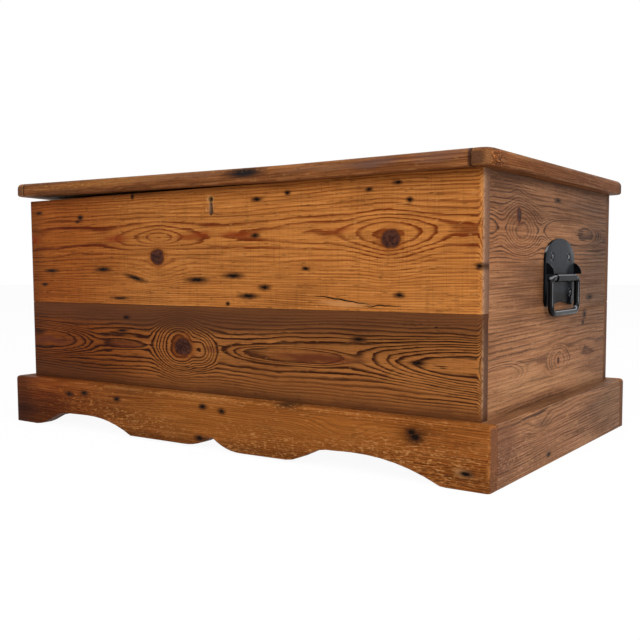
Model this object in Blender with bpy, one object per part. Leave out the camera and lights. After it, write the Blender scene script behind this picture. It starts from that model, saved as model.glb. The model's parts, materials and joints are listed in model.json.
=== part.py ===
"""Pine storage chest: boarded carcass, scalloped plinth, hinged lid, box lock and two bail handles.

Metres, +Z up. X runs along the chest, the front looks along -Y, and the origin lies on the
floor under the middle of the carcass. Each piece is a closed solid of its own.
"""

import math

import bmesh
import bpy
from mathutils import Matrix, Vector

# Clearances and cuts
GAP = 0.0003
OVERRUN = 0.002
ROUND_SIDES = 16
ARC_STEPS = 4

# Carcass
BODY_LENGTH = 0.954
BODY_DEPTH = 0.548
BODY_TOP = 0.4264
BODY_BOTTOM = 0.052
BOARD_THICKNESS = 0.0225
FRONT_JOINT_HEIGHT = 0.2332
SIDE_JOINT_HEIGHT = 0.2262
CORNER_EASE = 0.007
BOTTOM_THICKNESS = 0.016
BOTTOM_BOARD_COUNT = 3

# Plinth
PLINTH_HEIGHT = 0.089
PLINTH_THICKNESS = 0.025
PLINTH_EASE = 0.006
ARCH_HEIGHT = 0.030
CORNER_BLOCK_LEG = 0.045
CORNER_BLOCK_LIFT = 0.002

# Lid
LID_THICKNESS = 0.0237
LID_FRONT_OVERHANG = 0.0200
LID_SIDE_OVERHANG = 0.0210
LID_BACK_OVERHANG = 0.012
LID_FRONT_STRIP = 0.036
LID_SIDE_STRIP = 0.029
LID_CORNER_RADIUS = 0.020
LID_TOP_NOSING = 0.009
LID_BOTTOM_NOSING = 0.004
LID_BOARD_COUNT = 3
WARP_LIFT = 0.0095
WARP_END_X = 0.16
WARP_REAR_MARGIN = 0.060
WARP_LENGTH_POWER = 1.15
WARP_DEPTH_POWER = 1.2
WARP_STATIONS_X = 9
WARP_STATIONS_Y = 5

# Butt hinges
HINGE_LENGTH = 0.064
HINGE_SPREAD = 0.62
HINGE_LEAF_WIDTH = 0.020
HINGE_LEAF_THICKNESS = 0.0018
HINGE_KNUCKLE_RADIUS = 0.0035
HINGE_PIN_RADIUS = 0.0015
HINGE_PIN_HEAD = 0.0022
HINGE_KNUCKLE_COUNT = 5
HINGE_SCREW_SPACING = 0.022

# Box lock
LOCK_BODY_WIDTH = 0.056
LOCK_BODY_HEIGHT = 0.044
LOCK_BODY_DEPTH = 0.014
LOCK_FLANGE_WIDTH = 0.084
LOCK_FLANGE_THICKNESS = 0.002
LINK_WIDTH = 0.050
LINK_DEPTH = 0.013
LINK_THICKNESS = 0.0018
STAPLE_THICKNESS = 0.0026
STAPLE_WIDTH = 0.0086
STAPLE_DROP = 0.0115
STAPLE_EYE = 0.0048
BOLT_SIZE = 0.0040
BOLT_LENGTH = 0.020
BOLT_TRAVEL = 0.009
LOCK_CLEARANCE = 0.0008
KEYHOLE_X = -0.002
KEYHOLE_ROUND_HEIGHT = 0.4075
KEYHOLE_ROUND_RADIUS = 0.0056
KEYHOLE_NECK_WIDTH = 0.0062
KEYHOLE_FOOT_WIDTH = 0.0100
KEYHOLE_FOOT_HEIGHT = 0.3850
KEY_POCKET_DEPTH = 0.008
KEY_POCKET_HEIGHT = 0.0145

# Bail handles
HANDLE_CENTRE_Y = 0.011
HANDLE_AXIS_HEIGHT = 0.279
PLATE_HALF_WIDTH = 0.065
PLATE_DOME_HEIGHT = 0.062
PLATE_SHOULDER_HEIGHT = 0.030
PLATE_SKIRT_DROP = 0.044
PLATE_SKIRT_ARCH = 0.006
PLATE_CORNER_RADIUS = 0.008
PLATE_THICKNESS = 0.0034
PLATE_EDGE_ROUND = 0.0018
BARREL_RADIUS = 0.0066
BARREL_HALF_LENGTH = 0.041
EAR_REACH = 0.016
EAR_THICKNESS = 0.0016
EAR_TOP = 0.0235
EAR_BOTTOM = 0.0057
EAR_INSET = 0.0030
BAIL_ROD_RADIUS = 0.0050
BAIL_CLEARANCE = 0.0005
BAIL_HALF_SPAN = 0.059
BAIL_DROP = 0.055
BAIL_ELBOW_RADIUS = 0.009
BAIL_CORNER_RADIUS = 0.014
BAIL_END_INSET = 0.022
BAIL_ROD_SIDES = 12
UPPER_SCREW_OFFSET = 0.0365
UPPER_SCREW_HEIGHT = 0.033
LOWER_SCREW_OFFSET = 0.046
LOWER_SCREW_HEIGHT = -0.024

# Screws
SCREW_SHANK_RADIUS = 0.0018
SCREW_HEAD_RADIUS = 0.0036
SCREW_HEAD_HEIGHT = 0.0014
SCREW_DOME = 0.0009
HANDLE_SCREW_LENGTH = 0.016
HINGE_SCREW_LENGTH = 0.014
LOCK_SCREW_LENGTH = 0.012
SCREW_SIDES = 10

# Places worked out from the sizes above
HALF_LENGTH = BODY_LENGTH / 2
HALF_DEPTH = BODY_DEPTH / 2
FRONT_Y = -HALF_DEPTH
BACK_Y = HALF_DEPTH
INNER_FRONT_Y = FRONT_Y + BOARD_THICKNESS
INNER_BACK_Y = BACK_Y - BOARD_THICKNESS
INNER_HALF_LENGTH = HALF_LENGTH - BOARD_THICKNESS
BOTTOM_UNDERSIDE = BODY_BOTTOM - BOTTOM_THICKNESS
PLINTH_HALF_LENGTH = HALF_LENGTH + PLINTH_THICKNESS
PLINTH_HALF_DEPTH = HALF_DEPTH + PLINTH_THICKNESS
LID_BOTTOM = BODY_TOP + GAP
LID_TOP = LID_BOTTOM + LID_THICKNESS
LID_HALF_LENGTH = HALF_LENGTH + LID_SIDE_OVERHANG
LID_FRONT_Y = FRONT_Y - LID_FRONT_OVERHANG
LID_BACK_Y = BACK_Y + LID_BACK_OVERHANG
LID_FIELD_HALF = LID_HALF_LENGTH - LID_SIDE_STRIP
LID_FIELD_FRONT = LID_FRONT_Y + LID_FRONT_STRIP
HINGE_AXIS_Y = BACK_Y + HINGE_KNUCKLE_RADIUS + GAP
HINGE_AXIS_Z = BODY_TOP + GAP / 2
LINK_Y = INNER_FRONT_Y + GAP + LOCK_BODY_DEPTH / 2
BARREL_OUT = PLATE_THICKNESS + BARREL_RADIUS

# Bottom edge of the front plinth: share of its half length, share of the arch height, and how
# the edge reaches that point from the one before it
SCALLOP_SHARES = (
    (-1.0, 0.0, "flat"),
    (-0.876, 0.0, "flat"),
    (-0.701, 0.93, "ease"),
    (-0.582, 0.97, "ease"),
    (-0.355, 0.13, "fall"),
    (-0.098, 0.15, "flat"),
    (0.028, 0.76, "fall"),
    (0.150, 0.10, "rise"),
    (0.330, 0.14, "flat"),
    (0.482, 0.95, "ease"),
    (0.574, 1.0, "ease"),
    (0.855, 0.02, "fall"),
    (0.875, 0.0, "ease"),
    (1.0, 0.0, "flat"),
)
SCALLOP_STEPS = 6
FALL_POWER = 2.2

LOCK_SCREW_SHARES = (0.25, 0.75)
LID_NAMES = ("lid_", "hinge_lid_screw")

PINE_HONEY = ((0.47, 0.22, 0.075), 0.42, 0.0)
PINE_BROWN = ((0.30, 0.15, 0.06), 0.45, 0.0)
PINE_DARK = ((0.20, 0.10, 0.045), 0.48, 0.0)
PINE_RAW = ((0.50, 0.33, 0.17), 0.70, 0.0)
BLACK_JAPAN = ((0.018, 0.018, 0.020), 0.35, 0.6)
OLD_STEEL = ((0.13, 0.12, 0.11), 0.5, 0.85)
OLD_BRASS = ((0.42, 0.30, 0.13), 0.4, 0.95)


def clear_scene():
    """Remove every object of the scene."""
    for item in list(bpy.data.objects):
        bpy.data.objects.remove(item)


def finish_material(name, look):
    """Make a Principled material from a colour, roughness and metallic value."""
    colour, roughness, metallic = look
    material = bpy.data.materials.new(name)
    material.use_nodes = True
    shader = material.node_tree.nodes["Principled BSDF"]
    shader.inputs["Base Color"].default_value = (*colour, 1)
    shader.inputs["Roughness"].default_value = roughness
    shader.inputs["Metallic"].default_value = metallic
    return material


def add_object(name, bm):
    """Turn a bmesh in world places into an object with outward faces."""
    bmesh.ops.recalc_face_normals(bm, faces=bm.faces)
    mesh = bpy.data.meshes.new(name)
    bm.to_mesh(mesh)
    bm.free()
    item = bpy.data.objects.new(name, mesh)
    bpy.context.scene.collection.objects.link(item)
    return item


def extrude_outline(bm, outline, place, start, end):
    """Extrude a closed outline of (u, v) from start to end, set in space by place(u, v, w)."""
    low = [bm.verts.new(place(u, v, start)) for u, v in outline]
    high = [bm.verts.new(place(u, v, end)) for u, v in outline]
    bm.faces.new(low)
    bm.faces.new(list(reversed(high)))
    for index in range(len(outline)):
        after = (index + 1) % len(outline)
        bm.faces.new((low[index], high[index], high[after], low[after]))


def plan(u, v, w):
    """Outline in X and Y, extruded along Z."""
    return (u, v, w)


def elevation(u, v, w):
    """Outline in X and Z, extruded along Y."""
    return (u, w, v)


def section(u, v, w):
    """Outline in Y and Z, extruded along X."""
    return (w, u, v)


def rectangle(u_low, v_low, u_high, v_high):
    """Corners of a rectangle, in order."""
    return [(u_low, v_low), (u_high, v_low), (u_high, v_high), (u_low, v_high)]


def add_block(bm, low, high):
    """Add a rectangular block between two corners."""
    outline = rectangle(low[0], low[1], high[0], high[1])
    extrude_outline(bm, outline, plan, low[2], high[2])


def block(name, low, high):
    """Rectangular block as an object."""
    bm = bmesh.new()
    add_block(bm, low, high)
    return add_object(name, bm)


def rounded_outline(corners, steps=ARC_STEPS):
    """Outline through (u, v, radius) corners, each with an arc of its radius."""
    points = []
    for index, (u, v, radius) in enumerate(corners):
        corner = Vector((u, v))
        if not radius:
            points.append((u, v))
            continue
        back = (Vector(corners[index - 1][:2]) - corner).normalized()
        ahead = (Vector(corners[(index + 1) % len(corners)][:2]) - corner).normalized()
        half = back.angle(ahead) / 2
        centre = corner + (back + ahead).normalized() * radius / math.sin(half)
        first = corner + back * radius / math.tan(half) - centre
        last = corner + ahead * radius / math.tan(half) - centre
        sweep = first.angle_signed(last)
        for step in range(steps + 1):
            arm = first.copy()
            arm.rotate(Matrix.Rotation(-sweep * step / steps, 2))
            points.append(tuple(centre + arm))
    return points


def edges_where(bm, test):
    """Edges whose two ends pass a test."""
    return [edge for edge in bm.edges if all(test(vert.co) for vert in edge.verts)]


def middle(edge):
    """Middle of an edge."""
    return (edge.verts[0].co + edge.verts[1].co) / 2


def near(value, target):
    """Whether two places agree to a tenth of the gap."""
    return abs(value - target) < GAP / 10


def round_edges(bm, edges, radius, steps):
    """Round picked edges with an arc."""
    bmesh.ops.bevel(
        bm, geom=edges, offset=radius, offset_type="OFFSET", segments=steps, profile=0.5, affect="EDGES"
    )


def add_round(bm, centre, axis, radius, start, end, sides=ROUND_SIDES):
    """Add a round bar about an axis through centre, from start to end along it."""
    turn = Vector((0, 0, 1)).rotation_difference(Vector(axis)).to_matrix()

    def place(u, v, w):
        return Vector(centre) + turn @ Vector((u, v, w))

    ring = [
        (radius * math.cos(math.tau * n / sides), radius * math.sin(math.tau * n / sides)) for n in range(sides)
    ]
    extrude_outline(bm, ring, place, start, end)


def boolean(target, tool, operation):
    """Apply one Boolean to target, and delete its tool."""
    modifier = target.modifiers.new("shape", "BOOLEAN")
    modifier.operation = operation
    modifier.solver = "EXACT"
    modifier.object = tool
    graph = bpy.context.evaluated_depsgraph_get()
    mesh = bpy.data.meshes.new_from_object(target.evaluated_get(graph))
    target.modifiers.clear()
    target.data = mesh
    bpy.data.objects.remove(tool)


def cut(targets, fill):
    """Cut the shape that fill(bm) makes out of each target."""
    for target in targets:
        bm = bmesh.new()
        fill(bm)
        boolean(target, add_object("cutter", bm), "DIFFERENCE")


def join(target, fill):
    """Join the shape that fill(bm) makes to the target."""
    bm = bmesh.new()
    fill(bm)
    boolean(target, add_object("addition", bm), "UNION")


def long_board(name, y_out, y_in, z_low, z_high):
    """Front or back board, lapped over the ends of the side boards, its outer corners eased."""
    outline = [
        (-HALF_LENGTH, y_out, CORNER_EASE),
        (HALF_LENGTH, y_out, CORNER_EASE),
        (HALF_LENGTH, y_in, 0),
        (-HALF_LENGTH, y_in, 0),
    ]
    bm = bmesh.new()
    extrude_outline(bm, rounded_outline(outline), plan, z_low, z_high)
    return add_object(name, bm)


def make_carcass():
    """Eight boards of the box and the boards of its bottom."""
    pieces = {}
    for side, y_out, y_in in (("front", FRONT_Y, INNER_FRONT_Y), ("back", BACK_Y, INNER_BACK_Y)):
        for level, z_low, z_high in (
            ("lower", BODY_BOTTOM, FRONT_JOINT_HEIGHT - GAP),
            ("upper", FRONT_JOINT_HEIGHT, BODY_TOP),
        ):
            name = f"{side}_board_{level}"
            pieces[name] = long_board(name, y_out, y_in, z_low, z_high)
    for side, sign in (("left", -1), ("right", 1)):
        outer = sign * HALF_LENGTH
        inner = sign * INNER_HALF_LENGTH
        for level, z_low, z_high in (
            ("lower", BODY_BOTTOM, SIDE_JOINT_HEIGHT - GAP),
            ("upper", SIDE_JOINT_HEIGHT, BODY_TOP),
        ):
            name = f"{side}_end_board_{level}"
            low = (min(outer, inner), INNER_FRONT_Y + GAP, z_low)
            high = (max(outer, inner), INNER_BACK_Y - GAP, z_high)
            pieces[name] = block(name, low, high)
    width = BODY_DEPTH / BOTTOM_BOARD_COUNT
    for index in range(BOTTOM_BOARD_COUNT):
        name = f"bottom_board_{index + 1}"
        low = (-HALF_LENGTH, FRONT_Y + index * width, BOTTOM_UNDERSIDE)
        high = (HALF_LENGTH, FRONT_Y + (index + 1) * width - GAP, BODY_BOTTOM - GAP)
        pieces[name] = block(name, low, high)
    return pieces


def scallop_height(kind, start, end, share):
    """Height between two points of the plinth's bottom edge."""
    if kind == "ease":
        share = share * share * (3 - 2 * share)
    elif kind == "fall":
        share = share**FALL_POWER
    elif kind == "rise":
        share = 1 - (1 - share) ** FALL_POWER
    return start + (end - start) * share


def scallop_outline():
    """Outline of the front plinth in X and Z, with its arches and lobes."""
    points = []
    x_before, z_before = -PLINTH_HALF_LENGTH, 0.0
    for x_share, z_share, kind in SCALLOP_SHARES:
        x_here, z_here = x_share * PLINTH_HALF_LENGTH, z_share * ARCH_HEIGHT
        steps = 1 if kind == "flat" else SCALLOP_STEPS
        for step in range(1, steps + 1):
            share = step / steps
            x_step = x_before + (x_here - x_before) * share
            points.append((x_step, scallop_height(kind, z_before, z_here, share)))
        x_before, z_before = x_here, z_here
    return [*points, (PLINTH_HALF_LENGTH, PLINTH_HEIGHT), (-PLINTH_HALF_LENGTH, PLINTH_HEIGHT)]


def long_plinth(name, outline, y_out, y_in):
    """Front or back plinth board over the whole length, eased along its top and outer corners."""
    bm = bmesh.new()
    extrude_outline(bm, outline, elevation, y_in, y_out)

    def eased(spot):
        at_top = near(spot.z, PLINTH_HEIGHT)
        at_face = near(spot.y, y_out)
        at_end = near(abs(spot.x), PLINTH_HALF_LENGTH)
        return at_top and (at_face or at_end) or at_face and at_end

    edges = [
        edge
        for edge in edges_where(bm, eased)
        if not all(near(vert.co.y, y_in) for vert in edge.verts)
    ]
    round_edges(bm, edges, PLINTH_EASE, ARC_STEPS - 1)
    return add_object(name, bm)


def make_plinth():
    """Four plinth boards round the foot of the carcass, and the glue blocks in their corners."""
    pieces = {}
    inner_y = HALF_DEPTH + GAP
    plain = rectangle(-PLINTH_HALF_LENGTH, 0, PLINTH_HALF_LENGTH, PLINTH_HEIGHT)
    pieces["plinth_front"] = long_plinth("plinth_front", scallop_outline(), -PLINTH_HALF_DEPTH, -inner_y)
    pieces["plinth_back"] = long_plinth("plinth_back", plain, PLINTH_HALF_DEPTH, inner_y)
    for side, sign in (("left", -1), ("right", 1)):
        name = f"plinth_{side}"
        outer = sign * PLINTH_HALF_LENGTH
        inner = sign * (HALF_LENGTH + GAP)
        bm = bmesh.new()
        add_block(
            bm,
            (min(outer, inner), -inner_y + GAP, 0),
            (max(outer, inner), inner_y - GAP, PLINTH_HEIGHT),
        )
        edge = edges_where(bm, lambda spot: near(spot.z, PLINTH_HEIGHT) and near(spot.x, outer))
        round_edges(bm, edge, PLINTH_EASE, ARC_STEPS - 1)
        pieces[name] = add_object(name, bm)
        for end, turn in (("front", -1), ("back", 1)):
            block_name = f"corner_block_{end}_{side}"
            corner_x = sign * HALF_LENGTH
            corner_y = turn * HALF_DEPTH
            outline = [
                (corner_x, corner_y),
                (corner_x - sign * CORNER_BLOCK_LEG, corner_y),
                (corner_x, corner_y - turn * CORNER_BLOCK_LEG),
            ]
            bm = bmesh.new()
            extrude_outline(bm, outline, plan, CORNER_BLOCK_LIFT, BOTTOM_UNDERSIDE - GAP)
            pieces[block_name] = add_object(block_name, bm)
    return pieces


def lid_lift(x, y):
    """How far the sprung left front corner lifts the lid at a place."""
    along = (WARP_END_X - x) / (WARP_END_X + LID_HALF_LENGTH)
    rear = BACK_Y - WARP_REAR_MARGIN
    across = (rear - y) / (rear - LID_FRONT_Y)
    along = min(max(along, 0.0), 1.0)
    across = min(max(across, 0.0), 1.0)
    return WARP_LIFT * along**WARP_LENGTH_POWER * across**WARP_DEPTH_POWER


def warp(bm):
    """Slice a lid piece at the shared stations and lift it to the sprung shape."""
    rear = BACK_Y - WARP_REAR_MARGIN
    for index in range(1, WARP_STATIONS_X + 1):
        x = WARP_END_X - (WARP_END_X + LID_HALF_LENGTH) * index / WARP_STATIONS_X
        slice_at(bm, (x, 0, 0), (1, 0, 0))
    slice_at(bm, (WARP_END_X, 0, 0), (1, 0, 0))
    for index in range(WARP_STATIONS_Y):
        y = rear + (LID_FRONT_Y - rear) * index / WARP_STATIONS_Y
        slice_at(bm, (0, y, 0), (0, 1, 0))
    for vert in bm.verts:
        vert.co.z += lid_lift(vert.co.x, vert.co.y)


def slice_at(bm, point, normal):
    """Add an edge loop where a plane crosses the mesh."""
    geometry = [*bm.verts, *bm.edges, *bm.faces]
    bmesh.ops.bisect_plane(bm, geom=geometry, dist=GAP / 10, plane_co=point, plane_no=normal)


def lid_piece(name, outline, is_outer):
    """Lid piece from its plan outline, nosed where is_outer says that its edge shows."""
    bm = bmesh.new()
    extrude_outline(bm, outline, plan, LID_BOTTOM, LID_TOP)
    for level, radius in ((LID_TOP, LID_TOP_NOSING), (LID_BOTTOM, LID_BOTTOM_NOSING)):
        edges = [edge for edge in edges_where(bm, lambda spot: near(spot.z, level)) if is_outer(middle(edge))]
        if edges:
            round_edges(bm, edges, radius, ARC_STEPS)
    warp(bm)
    return add_object(name, bm)


def make_lid():
    """Three lid boards, with nosed strips along the front and both ends."""
    pieces = {}
    width = (LID_BACK_Y - LID_FIELD_FRONT) / LID_BOARD_COUNT
    for index in range(LID_BOARD_COUNT):
        name = f"lid_board_{index + 1}"
        y_low = LID_FIELD_FRONT + index * width
        outline = rectangle(-LID_FIELD_HALF + GAP, y_low + GAP, LID_FIELD_HALF - GAP, y_low + width)
        pieces[name] = lid_piece(name, outline, lambda spot: False)
    strip = rectangle(-LID_FIELD_HALF + GAP, LID_FRONT_Y, LID_FIELD_HALF - GAP, LID_FIELD_FRONT)
    pieces["lid_strip_front"] = lid_piece("lid_strip_front", strip, lambda spot: near(spot.y, LID_FRONT_Y))
    for side, sign in (("left", -1), ("right", 1)):
        name = f"lid_strip_{side}"
        corners = [
            (sign * LID_FIELD_HALF, LID_FRONT_Y, 0),
            (sign * LID_HALF_LENGTH, LID_FRONT_Y, LID_CORNER_RADIUS),
            (sign * LID_HALF_LENGTH, LID_BACK_Y, LID_CORNER_RADIUS),
            (sign * LID_FIELD_HALF, LID_BACK_Y, 0),
        ]
        pieces[name] = lid_piece(
            name, rounded_outline(corners), lambda spot: not near(abs(spot.x), LID_FIELD_HALF)
        )
    return pieces


def hinge_leaf(name, centre_x, is_lid):
    """One leaf of a butt hinge, with its own knuckles joined on and room for the others."""
    face = HINGE_AXIS_Z + GAP / 2 if is_lid else HINGE_AXIS_Z - GAP / 2
    back = face + HINGE_LEAF_THICKNESS if is_lid else face - HINGE_LEAF_THICKNESS
    half = HINGE_LENGTH / 2
    leaf = block(
        name,
        (centre_x - half, HINGE_AXIS_Y - HINGE_LEAF_WIDTH, min(face, back)),
        (centre_x + half, HINGE_AXIS_Y, max(face, back)),
    )
    pitch = HINGE_LENGTH / HINGE_KNUCKLE_COUNT
    axis_point = (centre_x - half, HINGE_AXIS_Y, HINGE_AXIS_Z)
    own = [n for n in range(HINGE_KNUCKLE_COUNT) if (n % 2 == 1) == is_lid]
    others = [n for n in range(HINGE_KNUCKLE_COUNT) if n not in own]
    room = HINGE_KNUCKLE_RADIUS + GAP

    def knuckles(bm):
        for n in own:
            add_round(bm, axis_point, (1, 0, 0), HINGE_KNUCKLE_RADIUS, n * pitch + GAP, (n + 1) * pitch - GAP)

    def notches(bm):
        for n in others:
            add_block(
                bm,
                (centre_x - half + n * pitch - GAP, HINGE_AXIS_Y - room, HINGE_AXIS_Z - room),
                (centre_x - half + (n + 1) * pitch + GAP, HINGE_AXIS_Y + room, HINGE_AXIS_Z + room),
            )

    def bore(bm):
        add_round(bm, axis_point, (1, 0, 0), HINGE_PIN_RADIUS + GAP, -OVERRUN, HINGE_LENGTH + OVERRUN)

    cut([leaf], notches)
    join(leaf, knuckles)
    cut([leaf], bore)
    return leaf


def hinge_screw_spots(centre_x):
    """Plan places of the screws of one hinge leaf."""
    y = HINGE_AXIS_Y - HINGE_KNUCKLE_RADIUS - (HINGE_LEAF_WIDTH - HINGE_KNUCKLE_RADIUS) / 2
    return [(centre_x + sign * HINGE_SCREW_SPACING, y) for sign in (-1, 1)]


def make_hinges(back_board, lid_board):
    """Two butt hinges let into the top of the back board and the underside of the lid."""
    pieces = {}
    room = HINGE_KNUCKLE_RADIUS + 2 * GAP
    sink = HINGE_LEAF_THICKNESS + GAP
    for side, sign in (("left", -1), ("right", 1)):
        centre_x = sign * HINGE_SPREAD / 2
        half = HINGE_LENGTH / 2 + GAP
        inner = HINGE_AXIS_Y - HINGE_LEAF_WIDTH - GAP

        def body_recess(bm):
            low = (centre_x - half, inner, BODY_TOP - sink)
            add_block(bm, low, (centre_x + half, BACK_Y + OVERRUN, BODY_TOP + OVERRUN))

        def lid_recess(bm):
            low = (centre_x - half, inner, LID_BOTTOM - OVERRUN)
            add_block(bm, low, (centre_x + half, HINGE_AXIS_Y, LID_BOTTOM + sink))

        def knuckle_groove(bm):
            start = (centre_x, HINGE_AXIS_Y, HINGE_AXIS_Z)
            add_round(bm, start, (1, 0, 0), room, -half - OVERRUN, half + OVERRUN)

        cut([back_board], body_recess)
        cut([lid_board], lid_recess)
        cut([lid_board], knuckle_groove)
        body_name, lid_name, pin_name = (f"hinge_{side}_{kind}" for kind in ("body_leaf", "lid_leaf", "pin"))
        pieces[body_name] = hinge_leaf(body_name, centre_x, False)
        pieces[lid_name] = hinge_leaf(lid_name, centre_x, True)
        bm = bmesh.new()
        start = (centre_x - HINGE_LENGTH / 2, HINGE_AXIS_Y, HINGE_AXIS_Z)
        add_round(bm, start, (1, 0, 0), HINGE_PIN_RADIUS, -GAP, HINGE_LENGTH + GAP)
        pin = add_object(pin_name, bm)

        def heads(bm):
            for low in (-GAP - HINGE_PIN_RADIUS, HINGE_LENGTH + GAP / 2):
                add_round(bm, start, (1, 0, 0), HINGE_PIN_HEAD, low, low + HINGE_PIN_RADIUS + GAP / 2)

        join(pin, heads)
        pieces[pin_name] = pin
    return pieces


def keyhole_outline():
    """Keyhole in X and Z: a round eye over a slot that flares towards its foot."""
    eye_drop = math.sqrt(KEYHOLE_ROUND_RADIUS**2 - (KEYHOLE_NECK_WIDTH / 2) ** 2)
    start = math.atan2(-eye_drop, KEYHOLE_NECK_WIDTH / 2)
    end = math.pi - start
    points = []
    for step in range(ROUND_SIDES + 1):
        angle = start + (end - start) * step / ROUND_SIDES
        points.append(
            (
                KEYHOLE_X + KEYHOLE_ROUND_RADIUS * math.cos(angle),
                KEYHOLE_ROUND_HEIGHT + KEYHOLE_ROUND_RADIUS * math.sin(angle),
            )
        )
    points.append((KEYHOLE_X - KEYHOLE_FOOT_WIDTH / 2, KEYHOLE_FOOT_HEIGHT))
    points.append((KEYHOLE_X + KEYHOLE_FOOT_WIDTH / 2, KEYHOLE_FOOT_HEIGHT))
    return points


def bolt_height():
    """Height of the bolt: the middle of the staple's eye on the closed lid."""
    return LID_BOTTOM + lid_lift(KEYHOLE_X, LINK_Y) - STAPLE_DROP + STAPLE_EYE


def make_lock(front_board, lid_board):
    """Box lock on the inner face of the front board, its bolt, and the link plate under the lid."""
    pieces = {}
    cut([front_board], lambda bm: extrude_outline(
        bm, keyhole_outline(), elevation, FRONT_Y - OVERRUN, INNER_FRONT_Y + OVERRUN
    ))
    face = INNER_FRONT_Y + GAP
    top = BODY_TOP
    case = block(
        "lock_case",
        (KEYHOLE_X - LOCK_BODY_WIDTH / 2, face, top - LOCK_BODY_HEIGHT),
        (KEYHOLE_X + LOCK_BODY_WIDTH / 2, face + LOCK_BODY_DEPTH, top),
    )
    join(case, lambda bm: add_block(
        bm,
        (KEYHOLE_X - LOCK_FLANGE_WIDTH / 2, face, top - LOCK_BODY_HEIGHT),
        (KEYHOLE_X + LOCK_FLANGE_WIDTH / 2, face + LOCK_FLANGE_THICKNESS, top),
    ))
    height = bolt_height()
    well_x = STAPLE_THICKNESS / 2 + LOCK_CLEARANCE
    well_y = STAPLE_WIDTH / 2 + LOCK_CLEARANCE
    well_floor = LID_BOTTOM - STAPLE_DROP - LOCK_CLEARANCE
    room = BOLT_SIZE / 2 + LOCK_CLEARANCE / 2
    rest = KEYHOLE_X + well_x + LOCK_CLEARANCE
    cut([case], lambda bm: add_block(
        bm,
        (KEYHOLE_X - well_x, LINK_Y - well_y, well_floor),
        (KEYHOLE_X + well_x, LINK_Y + well_y, top + OVERRUN),
    ))
    cut([case], lambda bm: add_block(
        bm,
        (rest - BOLT_TRAVEL - LOCK_CLEARANCE, LINK_Y - room, height - room),
        (rest + BOLT_LENGTH + LOCK_CLEARANCE, LINK_Y + room, height + room),
    ))
    cut([case], lambda bm: add_block(
        bm,
        (KEYHOLE_X - KEYHOLE_NECK_WIDTH / 2, face - OVERRUN, KEYHOLE_FOOT_HEIGHT),
        (KEYHOLE_X + KEYHOLE_NECK_WIDTH / 2, face + KEY_POCKET_DEPTH, KEYHOLE_FOOT_HEIGHT + KEY_POCKET_HEIGHT),
    ))
    pieces["lock_case"] = case
    half = BOLT_SIZE / 2
    pieces["lock_bolt"] = block(
        "lock_bolt", (rest, LINK_Y - half, height - half), (rest + BOLT_LENGTH, LINK_Y + half, height + half)
    )
    pieces["lid_link_plate"] = make_link_plate(lid_board)
    return pieces


def add_link_plate(bm, grow, depth):
    """Add the link plate's flat body, grown by a clearance."""
    add_block(
        bm,
        (KEYHOLE_X - LINK_WIDTH / 2 - grow, LINK_Y - LINK_DEPTH / 2 - grow, LID_BOTTOM - depth),
        (KEYHOLE_X + LINK_WIDTH / 2 + grow, LINK_Y + LINK_DEPTH / 2 + grow, LID_BOTTOM + LINK_THICKNESS + grow),
    )
    for vert in bm.verts:
        vert.co.z += lid_lift(vert.co.x, vert.co.y)


def make_link_plate(lid_board):
    """Link plate let into the lid's underside, with the staple that the bolt enters."""
    cut([lid_board], lambda bm: add_link_plate(bm, GAP, OVERRUN))
    bm = bmesh.new()
    add_link_plate(bm, 0, 0)
    plate = add_object("lid_link_plate", bm)
    lift = lid_lift(KEYHOLE_X, LINK_Y)
    foot = LID_BOTTOM + lift - STAPLE_DROP
    half = STAPLE_WIDTH / 2
    outline = rounded_outline(
        [
            (LINK_Y - half, foot, half / 2),
            (LINK_Y + half, foot, half / 2),
            (LINK_Y + half, LID_BOTTOM + lift + LINK_THICKNESS / 2, 0),
            (LINK_Y - half, LID_BOTTOM + lift + LINK_THICKNESS / 2, 0),
        ]
    )
    x_low = KEYHOLE_X - STAPLE_THICKNESS / 2
    join(plate, lambda bm: extrude_outline(bm, outline, section, x_low, x_low + STAPLE_THICKNESS))
    eye = STAPLE_EYE / 2
    middle = bolt_height()
    cut([plate], lambda bm: add_block(
        bm,
        (x_low - OVERRUN, LINK_Y - eye, middle - eye),
        (x_low + STAPLE_THICKNESS + OVERRUN, LINK_Y + eye, middle + eye),
    ))
    return plate


def plate_outline():
    """Handle plate in Y and Z about the bail's axis: domed head, straight sides, ogee foot."""
    points = []
    rise = PLATE_DOME_HEIGHT - PLATE_SHOULDER_HEIGHT
    steps = 3 * ARC_STEPS
    for step in range(steps + 1):
        angle = math.pi * step / steps
        points.append((PLATE_HALF_WIDTH * math.cos(angle), PLATE_SHOULDER_HEIGHT + rise * math.sin(angle)))
    steps = 4 * ARC_STEPS
    corner = PLATE_CORNER_RADIUS
    flat = PLATE_HALF_WIDTH - corner
    points.append((-PLATE_HALF_WIDTH, -PLATE_SKIRT_DROP + corner))
    points.append((-PLATE_HALF_WIDTH + corner / 3, -PLATE_SKIRT_DROP + corner / 3))
    for step in range(steps + 1):
        share = 2 * step / steps - 1
        wave = (1 + math.cos(math.pi * share)) / 2
        points.append((flat * share, -PLATE_SKIRT_DROP + PLATE_SKIRT_ARCH * wave))
    points.append((PLATE_HALF_WIDTH - corner / 3, -PLATE_SKIRT_DROP + corner / 3))
    points.append((PLATE_HALF_WIDTH, -PLATE_SKIRT_DROP + corner))
    return [(y + HANDLE_CENTRE_Y, z + HANDLE_AXIS_HEIGHT) for y, z in points]


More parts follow.
